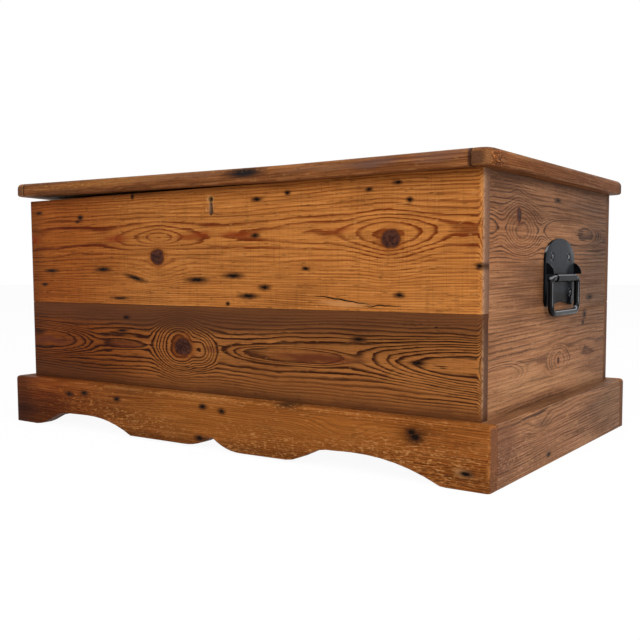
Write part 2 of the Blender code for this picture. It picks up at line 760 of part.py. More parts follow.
def ear_outline():
    """Ear of the handle plate in outward reach and height: a quarter round that stops the bail."""
    points = [(PLATE_THICKNESS / 2, HANDLE_AXIS_HEIGHT + EAR_BOTTOM)]
    for step in range(ARC_STEPS + 2):
        angle = math.pi / 2 * step / (ARC_STEPS + 1)
        out = PLATE_THICKNESS / 2 + (EAR_REACH - PLATE_THICKNESS / 2) * math.cos(angle)
        points.append((out, HANDLE_AXIS_HEIGHT + EAR_BOTTOM + (EAR_TOP - EAR_BOTTOM) * math.sin(angle)))
    return points


def make_handle_plate(name, sign):
    """Pressed handle plate with a rolled barrel for the bail and two ears that stop it."""

    def on_side(y, z, out):
        return (sign * (HALF_LENGTH + GAP + out), y, z)

    bm = bmesh.new()
    extrude_outline(bm, plate_outline(), on_side, 0, PLATE_THICKNESS)
    front = HALF_LENGTH + GAP + PLATE_THICKNESS
    round_edges(bm, edges_where(bm, lambda spot: near(abs(spot.x), front)), PLATE_EDGE_ROUND, 2)
    plate = add_object(name, bm)
    middle = on_side(HANDLE_CENTRE_Y, HANDLE_AXIS_HEIGHT, BARREL_OUT)
    join(plate, lambda bm: add_round(
        bm, middle, (0, 1, 0), BARREL_RADIUS, -BARREL_HALF_LENGTH, BARREL_HALF_LENGTH
    ))
    join(plate, lambda bm: add_block(
        bm,
        (
            min(sign * (front - GAP), middle[0]),
            HANDLE_CENTRE_Y - BARREL_HALF_LENGTH + GAP,
            HANDLE_AXIS_HEIGHT - BARREL_RADIUS / 2,
        ),
        (
            max(sign * (front - GAP), middle[0]),
            HANDLE_CENTRE_Y + BARREL_HALF_LENGTH - GAP,
            HANDLE_AXIS_HEIGHT + BARREL_RADIUS / 2,
        ),
    ))
    for turn in (-1, 1):
        ear_y = HANDLE_CENTRE_Y + turn * (PLATE_HALF_WIDTH - EAR_INSET) - EAR_THICKNESS / 2
        join(plate, lambda bm: extrude_outline(
            bm, ear_outline(), lambda u, v, w: on_side(w, v, u), ear_y, ear_y + EAR_THICKNESS
        ))
    length = BARREL_HALF_LENGTH + OVERRUN
    cut([plate], lambda bm: add_round(
        bm, middle, (0, 1, 0), BAIL_ROD_RADIUS + BAIL_CLEARANCE, -length, length
    ))
    return plate


def bail_path():
    """Half of the bail in Y and Z about its axis, from the end in the barrel to the foot's middle."""
    elbow = BAIL_ELBOW_RADIUS
    corner = BAIL_CORNER_RADIUS
    points = [(BAIL_END_INSET, 0.0)]
    steps = ARC_STEPS + 1
    for step in range(steps + 1):
        angle = math.pi / 2 * (1 - step / steps)
        points.append((BAIL_HALF_SPAN - elbow + elbow * math.cos(angle), -elbow + elbow * math.sin(angle)))
    for step in range(steps + 1):
        angle = -math.pi / 2 * step / steps
        centre = BAIL_HALF_SPAN - corner
        points.append((centre + corner * math.cos(angle), -BAIL_DROP + corner + corner * math.sin(angle)))
    return points


def make_bail(name, sign):
    """Bail of round rod: a square loop whose ends turn in to the barrel."""
    half = bail_path()
    route = [*half, *((-y, z) for y, z in reversed(half))]
    axis_x = sign * (HALF_LENGTH + GAP + BARREL_OUT)
    spots = [Vector((axis_x, y + HANDLE_CENTRE_Y, z + HANDLE_AXIS_HEIGHT)) for y, z in route]
    bm = bmesh.new()
    rings = []
    for index, spot in enumerate(spots):
        before = spots[max(index - 1, 0)]
        after = spots[min(index + 1, len(spots) - 1)]
        into = (spot - before).normalized() if index else (after - spot).normalized()
        out_of = (after - spot).normalized() if index < len(spots) - 1 else into
        along = (into + out_of).normalized()
        stretch = 1 / max(along.dot(into), GAP)
        across = along.cross(Vector((1, 0, 0)))
        ring = []
        for side in range(BAIL_ROD_SIDES):
            angle = math.tau * side / BAIL_ROD_SIDES
            offset = Vector((1, 0, 0)) * math.cos(angle) + across * stretch * math.sin(angle)
            ring.append(bm.verts.new(spot + offset * BAIL_ROD_RADIUS))
        rings.append(ring)
    for first, second in zip(rings, rings[1:]):
        for side in range(BAIL_ROD_SIDES):
            after = (side + 1) % BAIL_ROD_SIDES
            bm.faces.new((first[side], first[after], second[after], second[side]))
    bm.faces.new(rings[0])
    bm.faces.new(list(reversed(rings[-1])))
    return add_object(name, bm)


def add_screw(bm, head, inward, length, grow, dome):
    """Add one screw, or its hole when grow is more than zero, from its head's rim inwards."""
    outward = -Vector(inward)
    turn = Vector((0, 0, 1)).rotation_difference(outward).to_matrix()
    rim = OVERRUN if grow else 0
    profile = [(SCREW_SHANK_RADIUS + grow, -length - grow)]
    profile.append((SCREW_SHANK_RADIUS + grow, -SCREW_HEAD_HEIGHT - grow))
    profile.append((SCREW_HEAD_RADIUS + grow, 0))
    if grow:
        profile.append((SCREW_HEAD_RADIUS + grow, rim))
    elif dome:
        profile.append((SCREW_HEAD_RADIUS * 2 / 3, dome))
    rings = []
    for radius, height in profile:
        ring = []
        for side in range(SCREW_SIDES):
            angle = math.tau * side / SCREW_SIDES
            spot = turn @ Vector((radius * math.cos(angle), radius * math.sin(angle), height))
            ring.append(bm.verts.new(Vector(head) + spot))
        rings.append(ring)
    for first, second in zip(rings, rings[1:]):
        for side in range(SCREW_SIDES):
            after = (side + 1) % SCREW_SIDES
            bm.faces.new((first[side], first[after], second[after], second[side]))
    bm.faces.new(list(reversed(rings[0])))
    bm.faces.new(rings[-1])


def make_screws(name, spots, inward, length, targets, dome=0.0):
    """Alike screws, each an object of its own, with their holes cut in the pieces that they hold."""

    def holes(bm):
        for spot in spots:
            add_screw(bm, spot, inward, length, GAP, dome)

    cut(targets, holes)
    screws = {}
    for index, spot in enumerate(spots):
        bm = bmesh.new()
        add_screw(bm, spot, inward, length, 0, dome)
        screw_name = f"{name}_{index + 1}"
        screws[screw_name] = add_object(screw_name, bm)
    return screws


def hinge_screws(pieces):
    """Countersunk screws of both hinges, flush with the leaves."""
    spots = hinge_screw_spots(-HINGE_SPREAD / 2) + hinge_screw_spots(HINGE_SPREAD / 2)
    body_spots = [(x, y, HINGE_AXIS_Z - GAP) for x, y in spots]
    lid_spots = [(x, y, HINGE_AXIS_Z + GAP) for x, y in spots]
    body_targets = [pieces["hinge_left_body_leaf"], pieces["hinge_right_body_leaf"], pieces["back_board_upper"]]
    lid_targets = [
        pieces["hinge_left_lid_leaf"],
        pieces["hinge_right_lid_leaf"],
        pieces[f"lid_board_{LID_BOARD_COUNT}"],
    ]
    screws = make_screws("hinge_body_screw", body_spots, (0, 0, -1), HINGE_SCREW_LENGTH, body_targets)
    screws.update(make_screws("hinge_lid_screw", lid_spots, (0, 0, 1), HINGE_SCREW_LENGTH, lid_targets))
    return screws


def lock_screws(pieces):
    """Screws of the lock's flange."""
    x_offset = (LOCK_BODY_WIDTH + LOCK_FLANGE_WIDTH) / 4
    face = INNER_FRONT_Y + GAP + LOCK_FLANGE_THICKNESS
    spots = []
    for sign in (-1, 1):
        for share in LOCK_SCREW_SHARES:
            z = BODY_TOP - LOCK_BODY_HEIGHT * share
            spots.append((KEYHOLE_X + sign * x_offset, face, z))
    targets = [pieces["lock_case"], pieces["front_board_upper"]]
    return make_screws("lock_screw", spots, (0, -1, 0), LOCK_SCREW_LENGTH, targets)


def make_handles(pieces):
    """Plate, bail and screws of the handle on each end of the chest."""
    result = {}
    for side, sign in (("left", -1), ("right", 1)):
        plate = make_handle_plate(f"handle_{side}_plate", sign)
        face = sign * (HALF_LENGTH + GAP + PLATE_THICKNESS)
        spots = []
        for offset, height in (
            (UPPER_SCREW_OFFSET, UPPER_SCREW_HEIGHT),
            (LOWER_SCREW_OFFSET, LOWER_SCREW_HEIGHT),
        ):
            for turn in (-1, 1):
                spots.append((face, HANDLE_CENTRE_Y + turn * offset, HANDLE_AXIS_HEIGHT + height))
        boards = [pieces[f"{side}_end_board_{level}"] for level in ("upper", "lower")]
        targets = [plate, *boards]
        name = f"handle_{side}_screw"
        result.update(make_screws(name, spots, (-sign, 0, 0), HANDLE_SCREW_LENGTH, targets, SCREW_DOME))
        result[f"handle_{side}_plate"] = plate
        result[f"handle_{side}_bail"] = make_bail(f"handle_{side}_bail", sign)
    return result


def look_of(name):
    """Finish of a piece, by its name."""
    if "handle" in name:
        return BLACK_JAPAN
    if "lock_case" in name or "link" in name:
        return OLD_BRASS
    if "screw" in name or "hinge" in name or "bolt" in name:
        return OLD_STEEL
    if "bottom" in name or "block" in name:
        return PINE_RAW
    if "lower" in name or "plinth" in name:
        return PINE_BROWN
    return PINE_DARK if "end_board" in name else PINE_HONEY


def dress(pieces):
    """Give each piece its material, and shade its rounds smooth."""
    for name, item in pieces.items():
        item.data.materials.clear()
        item.data.materials.append(finish_material(name, look_of(name)))
        item.data.shade_smooth()
        item.data.set_sharp_from_angle(angle=math.radians(35))


def set_origin(item, spot):
    """Move a piece's origin to a place without moving its shape."""
    item.data.transform(Matrix.Translation(-Vector(spot)))
    item.location = spot


def hang_on_axis(name, spot, items):
    """Parent moving pieces to an empty on their joint's axis."""
    pivot = bpy.data.objects.new(name, None)
    pivot.location = spot
    bpy.context.scene.collection.objects.link(pivot)
    for item in items:
        set_origin(item, spot)
        item.location = (0, 0, 0)
        item.parent = pivot


def set_places(pieces):
    """Set the origins: joint axes for the moving pieces, their own middles for the rest."""
    lid = [item for name, item in pieces.items() if name.startswith(LID_NAMES) or "lid_leaf" in name]
    hang_on_axis("lid_axis", (0, HINGE_AXIS_Y, HINGE_AXIS_Z), lid)
    moving = set(lid)
    for side, sign in (("left", -1), ("right", 1)):
        bail = pieces[f"handle_{side}_bail"]
        spot = (sign * (HALF_LENGTH + GAP + BARREL_OUT), HANDLE_CENTRE_Y, HANDLE_AXIS_HEIGHT)
        hang_on_axis(f"bail_{side}_axis", spot, [bail])
        moving.add(bail)
    bolt = pieces["lock_bolt"]
    hang_on_axis("bolt_axis", (KEYHOLE_X, LINK_Y, bolt_height()), [bolt])
    moving.add(bolt)
    for item in pieces.values():
        if item not in moving:
            corners = [Vector(corner) for corner in item.bound_box]
            set_origin(item, sum(corners, Vector()) / len(corners))


def main():
    """Build the chest."""
    clear_scene()
    pieces = make_carcass()
    pieces.update(make_plinth())
    pieces.update(make_lid())
    pieces.update(make_hinges(pieces["back_board_upper"], pieces[f"lid_board_{LID_BOARD_COUNT}"]))
    pieces.update(make_lock(pieces["front_board_upper"], pieces["lid_board_1"]))
    pieces.update(make_handles(pieces))
    pieces.update(hinge_screws(pieces))
    pieces.update(lock_screws(pieces))
    dress(pieces)
    set_places(pieces)


main()
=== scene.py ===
"""Looks of an old pine storage chest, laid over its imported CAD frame."""

from __future__ import annotations

import json
import logging
import math
from dataclasses import dataclass
from enum import Enum

import bmesh
import bpy
from mathutils import Matrix, Vector

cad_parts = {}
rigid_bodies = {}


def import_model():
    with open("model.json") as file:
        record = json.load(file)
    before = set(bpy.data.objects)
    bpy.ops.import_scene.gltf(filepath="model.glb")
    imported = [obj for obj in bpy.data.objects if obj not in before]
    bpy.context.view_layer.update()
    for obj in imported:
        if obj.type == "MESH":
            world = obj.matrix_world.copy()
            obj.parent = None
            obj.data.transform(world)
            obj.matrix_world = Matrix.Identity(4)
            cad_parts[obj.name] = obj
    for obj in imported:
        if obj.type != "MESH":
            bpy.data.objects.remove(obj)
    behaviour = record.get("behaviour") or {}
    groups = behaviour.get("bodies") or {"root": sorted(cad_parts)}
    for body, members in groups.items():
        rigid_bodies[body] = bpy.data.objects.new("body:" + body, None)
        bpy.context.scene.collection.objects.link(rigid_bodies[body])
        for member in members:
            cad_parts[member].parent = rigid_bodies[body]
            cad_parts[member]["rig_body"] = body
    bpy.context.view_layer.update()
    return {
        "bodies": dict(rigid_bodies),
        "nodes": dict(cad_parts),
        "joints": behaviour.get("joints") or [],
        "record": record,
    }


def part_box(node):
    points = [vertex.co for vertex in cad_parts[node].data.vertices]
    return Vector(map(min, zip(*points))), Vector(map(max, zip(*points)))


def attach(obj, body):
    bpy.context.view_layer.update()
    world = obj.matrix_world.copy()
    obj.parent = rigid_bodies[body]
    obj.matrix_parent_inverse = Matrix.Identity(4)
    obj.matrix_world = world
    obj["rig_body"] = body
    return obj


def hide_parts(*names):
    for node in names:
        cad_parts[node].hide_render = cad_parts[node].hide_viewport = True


LOG = logging.getLogger("chest")
PER_METRE = 1000
FAR = 9.0  # the reach of a spot that isn't near
WHITE = (1.0, 1.0, 1.0)
GENTLE_ANGLE = math.radians(38)
FLAT_ANGLE = math.radians(0.5)
WELD = 0.00002
RELIEF = 0.0009
SOFT_SHINE = 0.5

Colour = tuple[float, float, float]
Span = tuple[float, float]


def painted(red: float, green: float, blue: float) -> Colour:
    """Turns display values from 0 to 255 into the linear colour that shaders use."""

    def linear(value: float) -> float:
        """Undoes the display curve of one channel."""
        share = value / 255
        return share / 12.92 if share < 0.04045 else ((share + 0.055) / 1.055) ** 2.4

    return linear(red), linear(green), linear(blue)


def largest(parts: tuple[Value, Value, Value]) -> Value:
    """Gives the largest of three values, without their signs."""
    first, second, third = (abs(part) for part in parts)
    return first.greater(second).greater(third)


class Lie(Enum):
    """How a board lies: the axes that its length, width and depth follow."""

    FRONT = (0, 2, 1)
    END = (1, 2, 0)
    TOP = (0, 1, 2)
    TOP_SIDE = (1, 0, 2)
    UPRIGHT = (2, 0, 1)


class Value:
    """A number that a shader socket carries."""

    def __init__(self, bench: Bench, socket: bpy.types.NodeSocket) -> None:
        """Keeps the socket and the bench that its nodes stand on."""
        self.bench = bench
        self.socket = socket

    def maths(self, operation: str, *others: Value | float) -> Value:
        """Applies a Math operation to this value and the others."""
        values = dict(enumerate((self, *others)))
        return self.bench.node("ShaderNodeMath", {"operation": operation}, values)

    def after(self, operation: str, other: float) -> Value:
        """Applies a Math operation with the plain number first."""
        values = {0: other, 1: self}
        return self.bench.node("ShaderNodeMath", {"operation": operation}, values)

    def __add__(self, other: Value | float) -> Value:
        """Adds."""
        return self.maths("ADD", other)

    def __radd__(self, other: float) -> Value:
        """Adds to a plain number."""
        return self.maths("ADD", other)

    def __sub__(self, other: Value | float) -> Value:
        """Takes away."""
        return self.maths("SUBTRACT", other)

    def __rsub__(self, other: float) -> Value:
        """Takes this value from a plain number."""
        return self.after("SUBTRACT", other)

    def __mul__(self, other: Value | float) -> Value:
        """Multiplies."""
        return self.maths("MULTIPLY", other)

    def __rmul__(self, other: float) -> Value:
        """Multiplies a plain number."""
        return self.maths("MULTIPLY", other)

    def __truediv__(self, other: Value | float) -> Value:
        """Divides."""
        return self.maths("DIVIDE", other)

    def __pow__(self, other: float) -> Value:
        """Raises to a power."""
        return self.maths("POWER", other)

    def __abs__(self) -> Value:
        """Drops the sign."""
        return self.maths("ABSOLUTE")

    def fraction(self) -> Value:
        """Gives what stands after the point."""
        return self.maths("FRACT")

    def lesser(self, other: Value | float) -> Value:
        """Gives the smaller of two values."""
        return self.maths("MINIMUM", other)

    def greater(self, other: Value | float) -> Value:
        """Gives the larger of two values."""
        return self.maths("MAXIMUM", other)

    def eased(self, start: float, end: float, low: float = 0, high: float = 1) -> Value:
        """Eases from low to high as this value goes from start to end.

        Args:
            start: Where the easing starts.
            end: Where it ends; it may be below start.
            low: The result at start.
            high: The result at end.

        Returns:
            The eased value, held at its ends.
        """
        values = {0: self, 1: start, 2: end, 3: low, 4: high}
        if end < start:
            values = {0: self, 1: end, 2: start, 3: high, 4: low}
        settings = {"interpolation_type": "SMOOTHSTEP"}
        return self.bench.node("ShaderNodeMapRange", settings, values)


class Triple(Value):
    """A vector that a shader socket carries."""

    def vector_maths(self, operation: str, *others: Triple | Colour) -> Triple:
        """Applies a Vector Math operation to this vector and the others."""
        values = dict(enumerate((self, *others)))
        kind = "ShaderNodeVectorMath"
        made = self.bench.node(kind, {"operation": operation}, values)
        return Triple(self.bench, made.socket)

    def __add__(self, other: Triple | Colour) -> Triple:
        """Adds."""
        return self.vector_maths("ADD", other)

    def __mul__(self, other: Triple | Colour) -> Triple:
        """Multiplies part by part."""
        return self.vector_maths("MULTIPLY", other)

    def fitted(self, scale: Colour, shift: Colour) -> Triple:
        """Scales and then shifts."""
        return self.vector_maths("MULTIPLY_ADD", scale, shift)

    def length(self) -> Value:
        """Measures the vector."""
        settings = {"operation": "LENGTH"}
        return self.bench.node("ShaderNodeVectorMath", settings, {0: self}, "Value")

    def parts(self) -> tuple[Value, Value, Value]:
        """Splits the vector into its three numbers."""
        made = self.bench.node("ShaderNodeSeparateXYZ", {}, {0: self})
        outputs = made.socket.node.outputs
        return tuple(Value(self.bench, output) for output in outputs)


class Tint(Value):
    """A colour that a shader socket carries."""

    def mixed(self, share: Value | float, other: Tint | Colour, way: str = "MIX") -> Tint:
        """Mixes another colour over this one.

        Args:
            share: How much of the other colour shows.
            other: The other colour.
            way: The blend type of the Mix node.

        Returns:
            The mixed colour.
        """
        settings = {"data_type": "RGBA", "blend_type": way}
        values = {0: share, 6: self, 7: other}
        made = self.bench.node("ShaderNodeMix", settings, values, 2)
        return Tint(self.bench, made.socket)

    def layered(self, *layers: tuple[Value, Colour]) -> Tint:
        """Mixes several colours over this one, each by its share."""
        made = self
        for share, colour in layers:
            made = made.mixed(share, colour)
        return made


class Bench:
    """The nodes of one material, world or node group and what joins them."""

    def __init__(self, holder: bpy.types.Material | bpy.types.World | bpy.types.NodeTree) -> None:
        """Clears the nodes of what holds them."""
        self.holder = holder
        self.tree = holder
        if not isinstance(holder, bpy.types.NodeTree):
            holder.use_nodes = True
            self.tree = holder.node_tree
        self.tree.nodes.clear()

    def node(
        self,
        kind: str,
        settings: dict[str, object] | None = None,
        values: dict[int | str, object] | None = None,
        output: int | str = 0,
    ) -> Value:
        """Adds a node and gives one of its outputs.

        Args:
            kind: The node's Blender type.
            settings: What is set on the node first; "stops" fills a ramp.
            values: Numbers, colours or links for its sockets.
            output: The output to give, by place or name.

        Returns:
            That output, wrapped.
        """
        made = self.tree.nodes.new(kind)
        for key, setting in (settings or {}).items():
            if key == "stops":
                self.fill_ramp(made, setting)
            else:
                setattr(made, key, setting)
        for key, value in (values or {}).items():
            self.feed(made.inputs[key], value)
        found = made.outputs[output] if len(made.outputs) else None
        return Value(self, found)

    def fill_ramp(self, ramp: bpy.types.Node, stops: tuple) -> None:
        """Gives a colour ramp its stops."""
        elements = ramp.color_ramp.elements
        while len(elements) < len(stops):
            elements.new(1.0)
        for element, (place, colour) in zip(elements, stops):
            element.position = place
            element.color = (*colour, 1.0)

    def feed(self, socket: bpy.types.NodeSocket, value: object) -> None:
        """Links a value to a socket, or writes a constant on it."""
        if isinstance(value, Value):
            self.tree.links.new(value.socket, socket)
        elif isinstance(value, tuple) and len(socket.default_value) == 4:
            socket.default_value = (*value, 1.0)
        else:
            socket.default_value = value

    def places(self) -> Triple:
        """Gives the point in the row frame, which stays with its piece."""
        made = self.node("ShaderNodeTexCoord", output="Object")
        return Triple(self, made.socket)

    def facing(self) -> Triple:
        """Gives the surface's direction in the row frame."""
        made = self.node("ShaderNodeTexCoord", output="Normal")
        return Triple(self, made.socket)

    def vector(self, first: Value | float, second: Value | float, third: Value | float) -> Triple:
        """Joins three numbers into a vector."""
        made = self.node("ShaderNodeCombineXYZ", {}, {0: first, 1: second, 2: third})
        return Triple(self, made.socket)

    def noise(self, at: Triple, scale: float, detail: float = 2, rough: float = 0.5) -> Value:
        """Gives a noise value about one half; detail counts its octaves."""
        values = {"Vector": at, "Scale": scale, "Detail": detail, "Roughness": rough}
        return self.node("ShaderNodeTexNoise", {}, values)

    def streaks(
        self, at: Triple, along: float, across: float, detail: float = 1.0, rough: float = 0.5
    ) -> Value:
        """Gives a noise value with one scale along the grain and one across it."""
        return self.noise(at * (along, across, across), 1.0, detail, rough)

    def drift(self, at: Triple, scale: float, reach: Colour) -> Triple:
        """Gives a wandering shift, up to about half of reach each way."""
        values = {"Vector": at, "Scale": scale, "Detail": 2.0}
        made = self.node("ShaderNodeTexNoise", {}, values, "Color")
        half = tuple(-part / 2 for part in reach)
        return Triple(self, made.socket).fitted(reach, half)

    def ramp(self, share: Value, stops: tuple) -> Tint:
        """Turns a share into a colour by a ramp."""
        made = self.node("ShaderNodeValToRGB", {"stops": stops}, {0: share})
        return Tint(self, made.socket)

    def plain_rays(self) -> Value:
        """Gives 1 to the rays of the camera, of mirrors and of glass, else 0."""
        kinds = ("Is Camera Ray", "Is Glossy Ray", "Is Transmission Ray")
        seen, mirrored, through = (self.node("ShaderNodeLightPath", output=kind) for kind in kinds)
        return (seen + mirrored + through).lesser(1.0)

    def finish(
        self,
        colour: Tint,
        roughness: Value,
        height: Value,
        depth: float,
        metallic: float = 0.0,
        specular: float = SOFT_SHINE,
    ) -> bpy.types.Material:
        """Closes the material with its surface shader.

        Args:
            colour: The base colour.
            roughness: The roughness.
            height: The relief, from 0 to 1.
            depth: The relief's depth in metres.
            metallic: How metallic the surface is.
            specular: How strongly the bare surface mirrors.

        Returns:
            The finished material.
        """
        relief = {"Height": height, "Distance": depth, "Strength": 1.0}
        values = {"Base Color": colour, "Roughness": roughness, "Metallic": metallic}
        values["Specular IOR Level"] = specular
        values["Normal"] = self.node("ShaderNodeBump", {}, relief)
        shader = self.node("ShaderNodeBsdfPrincipled", {}, values)
        self.node("ShaderNodeOutputMaterial", {}, {"Surface": shader})
        return self.holder


@dataclass(frozen=True)
class Spot:
    """An oval on a board's face: its place, half sizes, strength and slope."""

    along: float
    across: float
    half_along: float
    half_across: float
    strength: float = 1.0
    core: float = 0.0
    slope: float = 0.0

    def reach(self, face: Triple) -> Value:
        """Gives 0 at the spot's middle and 1 at its edge.

        Args:
            face: The point on the face, as length, width and depth.

        Returns:
            The share of the way out, beyond 1 outside.
        """
        scale = (1 / self.half_along, 1 / self.half_across, 0.0)
        shift = (-self.along / self.half_along, -self.across / self.half_across, 0.0)
        near = face.fitted(scale, shift)
        if not self.slope:
            return near.length()
        out, over, _ = near.parts()
        sheared = over - out * (self.slope * self.half_along / self.half_across)
        return (out * out + sheared * sheared) ** 0.5


@dataclass(frozen=True)
class ColourPatch(Spot):
    """An oval patch of another colour laid over the wood; it serves for real stains and for painted
    shade and shadow.
    """

    colour: Colour = painted(60, 36, 20)
    way: str = "MIX"
    broken: float = 0.0
    crisp: bool = False


@dataclass(frozen=True)
class Knot(Spot):
    """A knot that the grain flows round; half sizes are its own."""


@dataclass(frozen=True)
class PineTone:
    """The colours that one board's pine has."""

    early: Colour
    late: Colour
    end: Colour
    worn: Colour


def tone(*colours: Colour) -> PineTone:
    """Makes a tone from the display values of its four colours."""
    return PineTone(*(painted(*colour) for colour in colours))


HONEY = tone((186, 116, 54), (112, 46, 12), (136, 106, 88), (206, 146, 82))
BARN = tone((162, 101, 50), (46, 19, 8), (102, 76, 62), (160, 108, 60))
PLINTH = tone((150, 88, 36), (90, 44, 14), (124, 84, 64), (190, 132, 76))
DUSTY = tone((168, 115, 76), (76, 44, 26), (128, 90, 64), (200, 146, 100))
LID_RED = tone((136, 82, 44), (84, 44, 22), (104, 70, 48), (184, 132, 84))
RAW = tone((176, 134, 88), (128, 84, 46), (140, 102, 66), (190, 150, 104))
# Near-black for cracks and knot checks, and for painted shade: the shadow line under the lid, the
# keyhole's slot, the lock's hidden face and the inside of nail holes.
SHADE_AND_CRACK_BLACK = painted(20, 12, 8)
# Linear colours that darken by multiplying: painted shade towards the left ends and under the lid,
# and darker patches elsewhere.
SHADE = (0.30, 0.26, 0.24)
WARM_SHADE = (0.74, 0.46, 0.18)
GREY_SHADE = (0.42, 0.44, 0.50)
KNOT_CORE = painted(84, 48, 36)


@dataclass(frozen=True)
class PineFinish:
    """One board's pine: how it was cut, its knots, marks and wear."""

    name: str
    lie: Lie
    tone: PineTone
    heart: Span
    ring: float = 0.0034
    lean: Span = (0.0, 0.0)
    knots: tuple[Knot, ...] = ()
    eyes: tuple[Spot, ...] = ()
    stains_and_shade: tuple[ColourPatch, ...] = ()
    marks: tuple[Spot, ...] = ()
    rim: float = 0.0
    inside: float = 0.0
    contrast: float = 0.9
    grime: float = 0.35
    sawn: float = 0.10
    scuffs: float = 0.25
    faded: float = 0.12
    sheen: float = 0.035
    late_start: float = 0.35
    uneven: float = 1.2
    restless: float = 1.0
    plain: float = 1.0
    seed: float = 0.0

    def face_point(self, bench: Bench) -> Triple:
        """Gives a point's length, width and depth on the board."""
        parts = bench.places().parts()
        first, second, third = (parts[axis] for axis in self.lie.value)
        return bench.vector(first, second, third)

    def flow(self, bench: Bench, face: Triple) -> tuple[Value, Value, Value]:
        """Bends the width coordinate so that the grain flows round knots.

        Args:
            bench: Where the nodes go.
            face: The point on the board.

        Returns:
            The bent width, the nearest knot's reach, and the depth.
        """
        along, across, depth = face.parts()
        nearest = Value(bench, along.socket) * 0.0 + FAR
        bent = across
        wobble = bench.noise(face, 55.0, 2.0) * 0.5 - 0.25
        for knot in self.knots:
            out = knot.reach(face) + wobble
            close = out.greater(1.0) ** -2.0 * 0.70 + out.eased(5.0, 1.0) * 0.30
            bent = bent - (across - knot.across) * close * knot.strength
            nearest = nearest.lesser(out)
        return bent, nearest, depth

    def ring_count(self, bench: Bench, face: Triple) -> tuple[Value, Value, Value]:
        """Counts growth rings out from the board's heart.

        Args:
            bench: Where the nodes go.
            face: The point on the board.

        Returns:
            The ring count, the nearest knot's reach and the way to the heart line.
        """
        shifted = face + (self.seed, self.seed * 2.3, self.seed * 1.7)
        calm = shifted * (2.6, 9.0, 9.0)
        lively = shifted * (16.0, 46.0, 46.0)
        wide, small = 0.020 * self.restless, 0.0032 * self.restless
        wander = bench.drift(calm, 1.0, (wide * 2.5, wide, wide))
        shiver = bench.drift(lively, 1.0, (small * 3.0, small, small))
        warped = face + wander + shiver
        bent, nearest, depth = self.flow(bench, warped)
        along = warped.parts()[0]
        side = bent - along * self.lean[0] - self.heart[0]
        deep = depth - along * self.lean[1] - self.heart[1]
        count = bench.vector(side, deep, 0.0).length() / self.ring
        for eye in self.eyes:
            count = count + eye.reach(warped).eased(eye.core, 1.0, eye.strength, 0.0)
        spread = bench.noise(bench.vector(count, self.seed, 0.0), 0.55, 1.0)
        frayed = bench.streaks(shifted, 14.0, 520.0, 2.0)
        return count + spread * self.uneven + frayed * 0.42, nearest, abs(side)

    def latewood(self, bench: Bench, count: Value, face: Triple) -> Value:
        """Gives how dark the ring is, from 0 in earlywood to 1."""
        within = count.fraction()
        band = within.eased(self.late_start, 0.86) * within.eased(1.0, 0.92)
        strength = bench.noise(bench.vector(count, self.seed + 4.0, 0.0), 0.35, 1.0)
        patchy = bench.streaks(face, 5.0, 24.0, 2.0)
        return band * strength.eased(0.3, 0.62, 0.55, 1.0) * patchy.eased(0.3, 0.6, 0.5, 1.0)

    def knot_colour(self, bench: Bench, wood: Tint, nearest: Value, face: Triple) -> Tint:
        """Paints the knots: dark rings, a darker rim and small checks."""
        if not self.knots:
            return wood
        grain = bench.noise(face, 90.0, 3.0)
        rings = (nearest * 1.3 + grain * 3.2).fraction().eased(0.0, 1.0)
        core = bench.ramp(rings, ((0.0, KNOT_CORE), (1.0, painted(64, 36, 27))))
        blotch = bench.noise(face, 150.0, 2.0)
        core = core.mixed(blotch.eased(0.44, 0.60) * 0.8, painted(44, 25, 20))
        rim = nearest.eased(0.78, 0.92) * nearest.eased(1.10, 0.96)
        checks = bench.noise(face * (160.0, 500.0, 160.0), 1.0, 1.0)
        return wood.layered(
            (nearest.eased(1.7, 1.0) * 0.5, painted(124, 62, 22)),
            (nearest.eased(1.04, 0.84), core),
            (rim * 0.7, painted(92, 48, 20)),
            (checks.eased(0.60, 0.68) * nearest.eased(0.8, 0.5), SHADE_AND_CRACK_BLACK),
        )

    def marked(self, bench: Bench, wood: Tint, face: Triple) -> tuple[Tint, Value]:
        """Adds nail holes, painted near-black inside as shade, and the dark iron stain that runs
        from each.

        Args:
            bench: Where the nodes go.
            wood: The colour so far.
            face: The point on the board.

        Returns:
            The colour, and how deep each hole is.
        """
        fuzzy = face + bench.drift(face * (1.0, 2.0, 2.0), 160.0, (0.006, 0.0032, 0.0))
        nearest = bench.noise(face, 1.0) * 0.0 + FAR
        for mark in self.marks:
            nearest = nearest.lesser(mark.reach(fuzzy))
        wood = wood.mixed(nearest.eased(1.65, 0.40) * 0.9, painted(50, 26, 13))
        # Painted shade: the inside of each hole is painted near-black.
        hole = nearest.eased(0.56, 0.30)
        return wood.mixed(hole, SHADE_AND_CRACK_BLACK), hole

    def weathered(self, bench: Bench, wood: Tint, face: Triple, fibre: Value) -> Tint:
        """Adds the streaks, old dirt and stains of the surface."""
        broad = bench.streaks(face, 3.2, 13.0, 3.0)
        flecks = bench.streaks(face, 60.0, 560.0)
        sawn = bench.streaks(face, 420.0, 14.0)
        scuffs = bench.streaks(face, 70.0, 190.0, 2.0)
        return wood.layered(
            (broad.eased(0.48, 0.74) * self.grime, painted(84, 44, 18)),
            (broad.eased(0.47, 0.28) * self.faded, self.tone.worn),
            (fibre.eased(0.30, 0.62, 0.42, 0.0), painted(60, 28, 10)),
            (fibre.eased(0.52, 0.74, 0.0, 0.34), self.tone.worn),
            (flecks.eased(0.62, 0.74) * 0.5, painted(40, 20, 8)),
            (sawn.eased(0.50, 0.74) * self.sawn, painted(58, 32, 16)),
            (scuffs.eased(0.62, 0.72) * self.scuffs, self.tone.worn),
        )

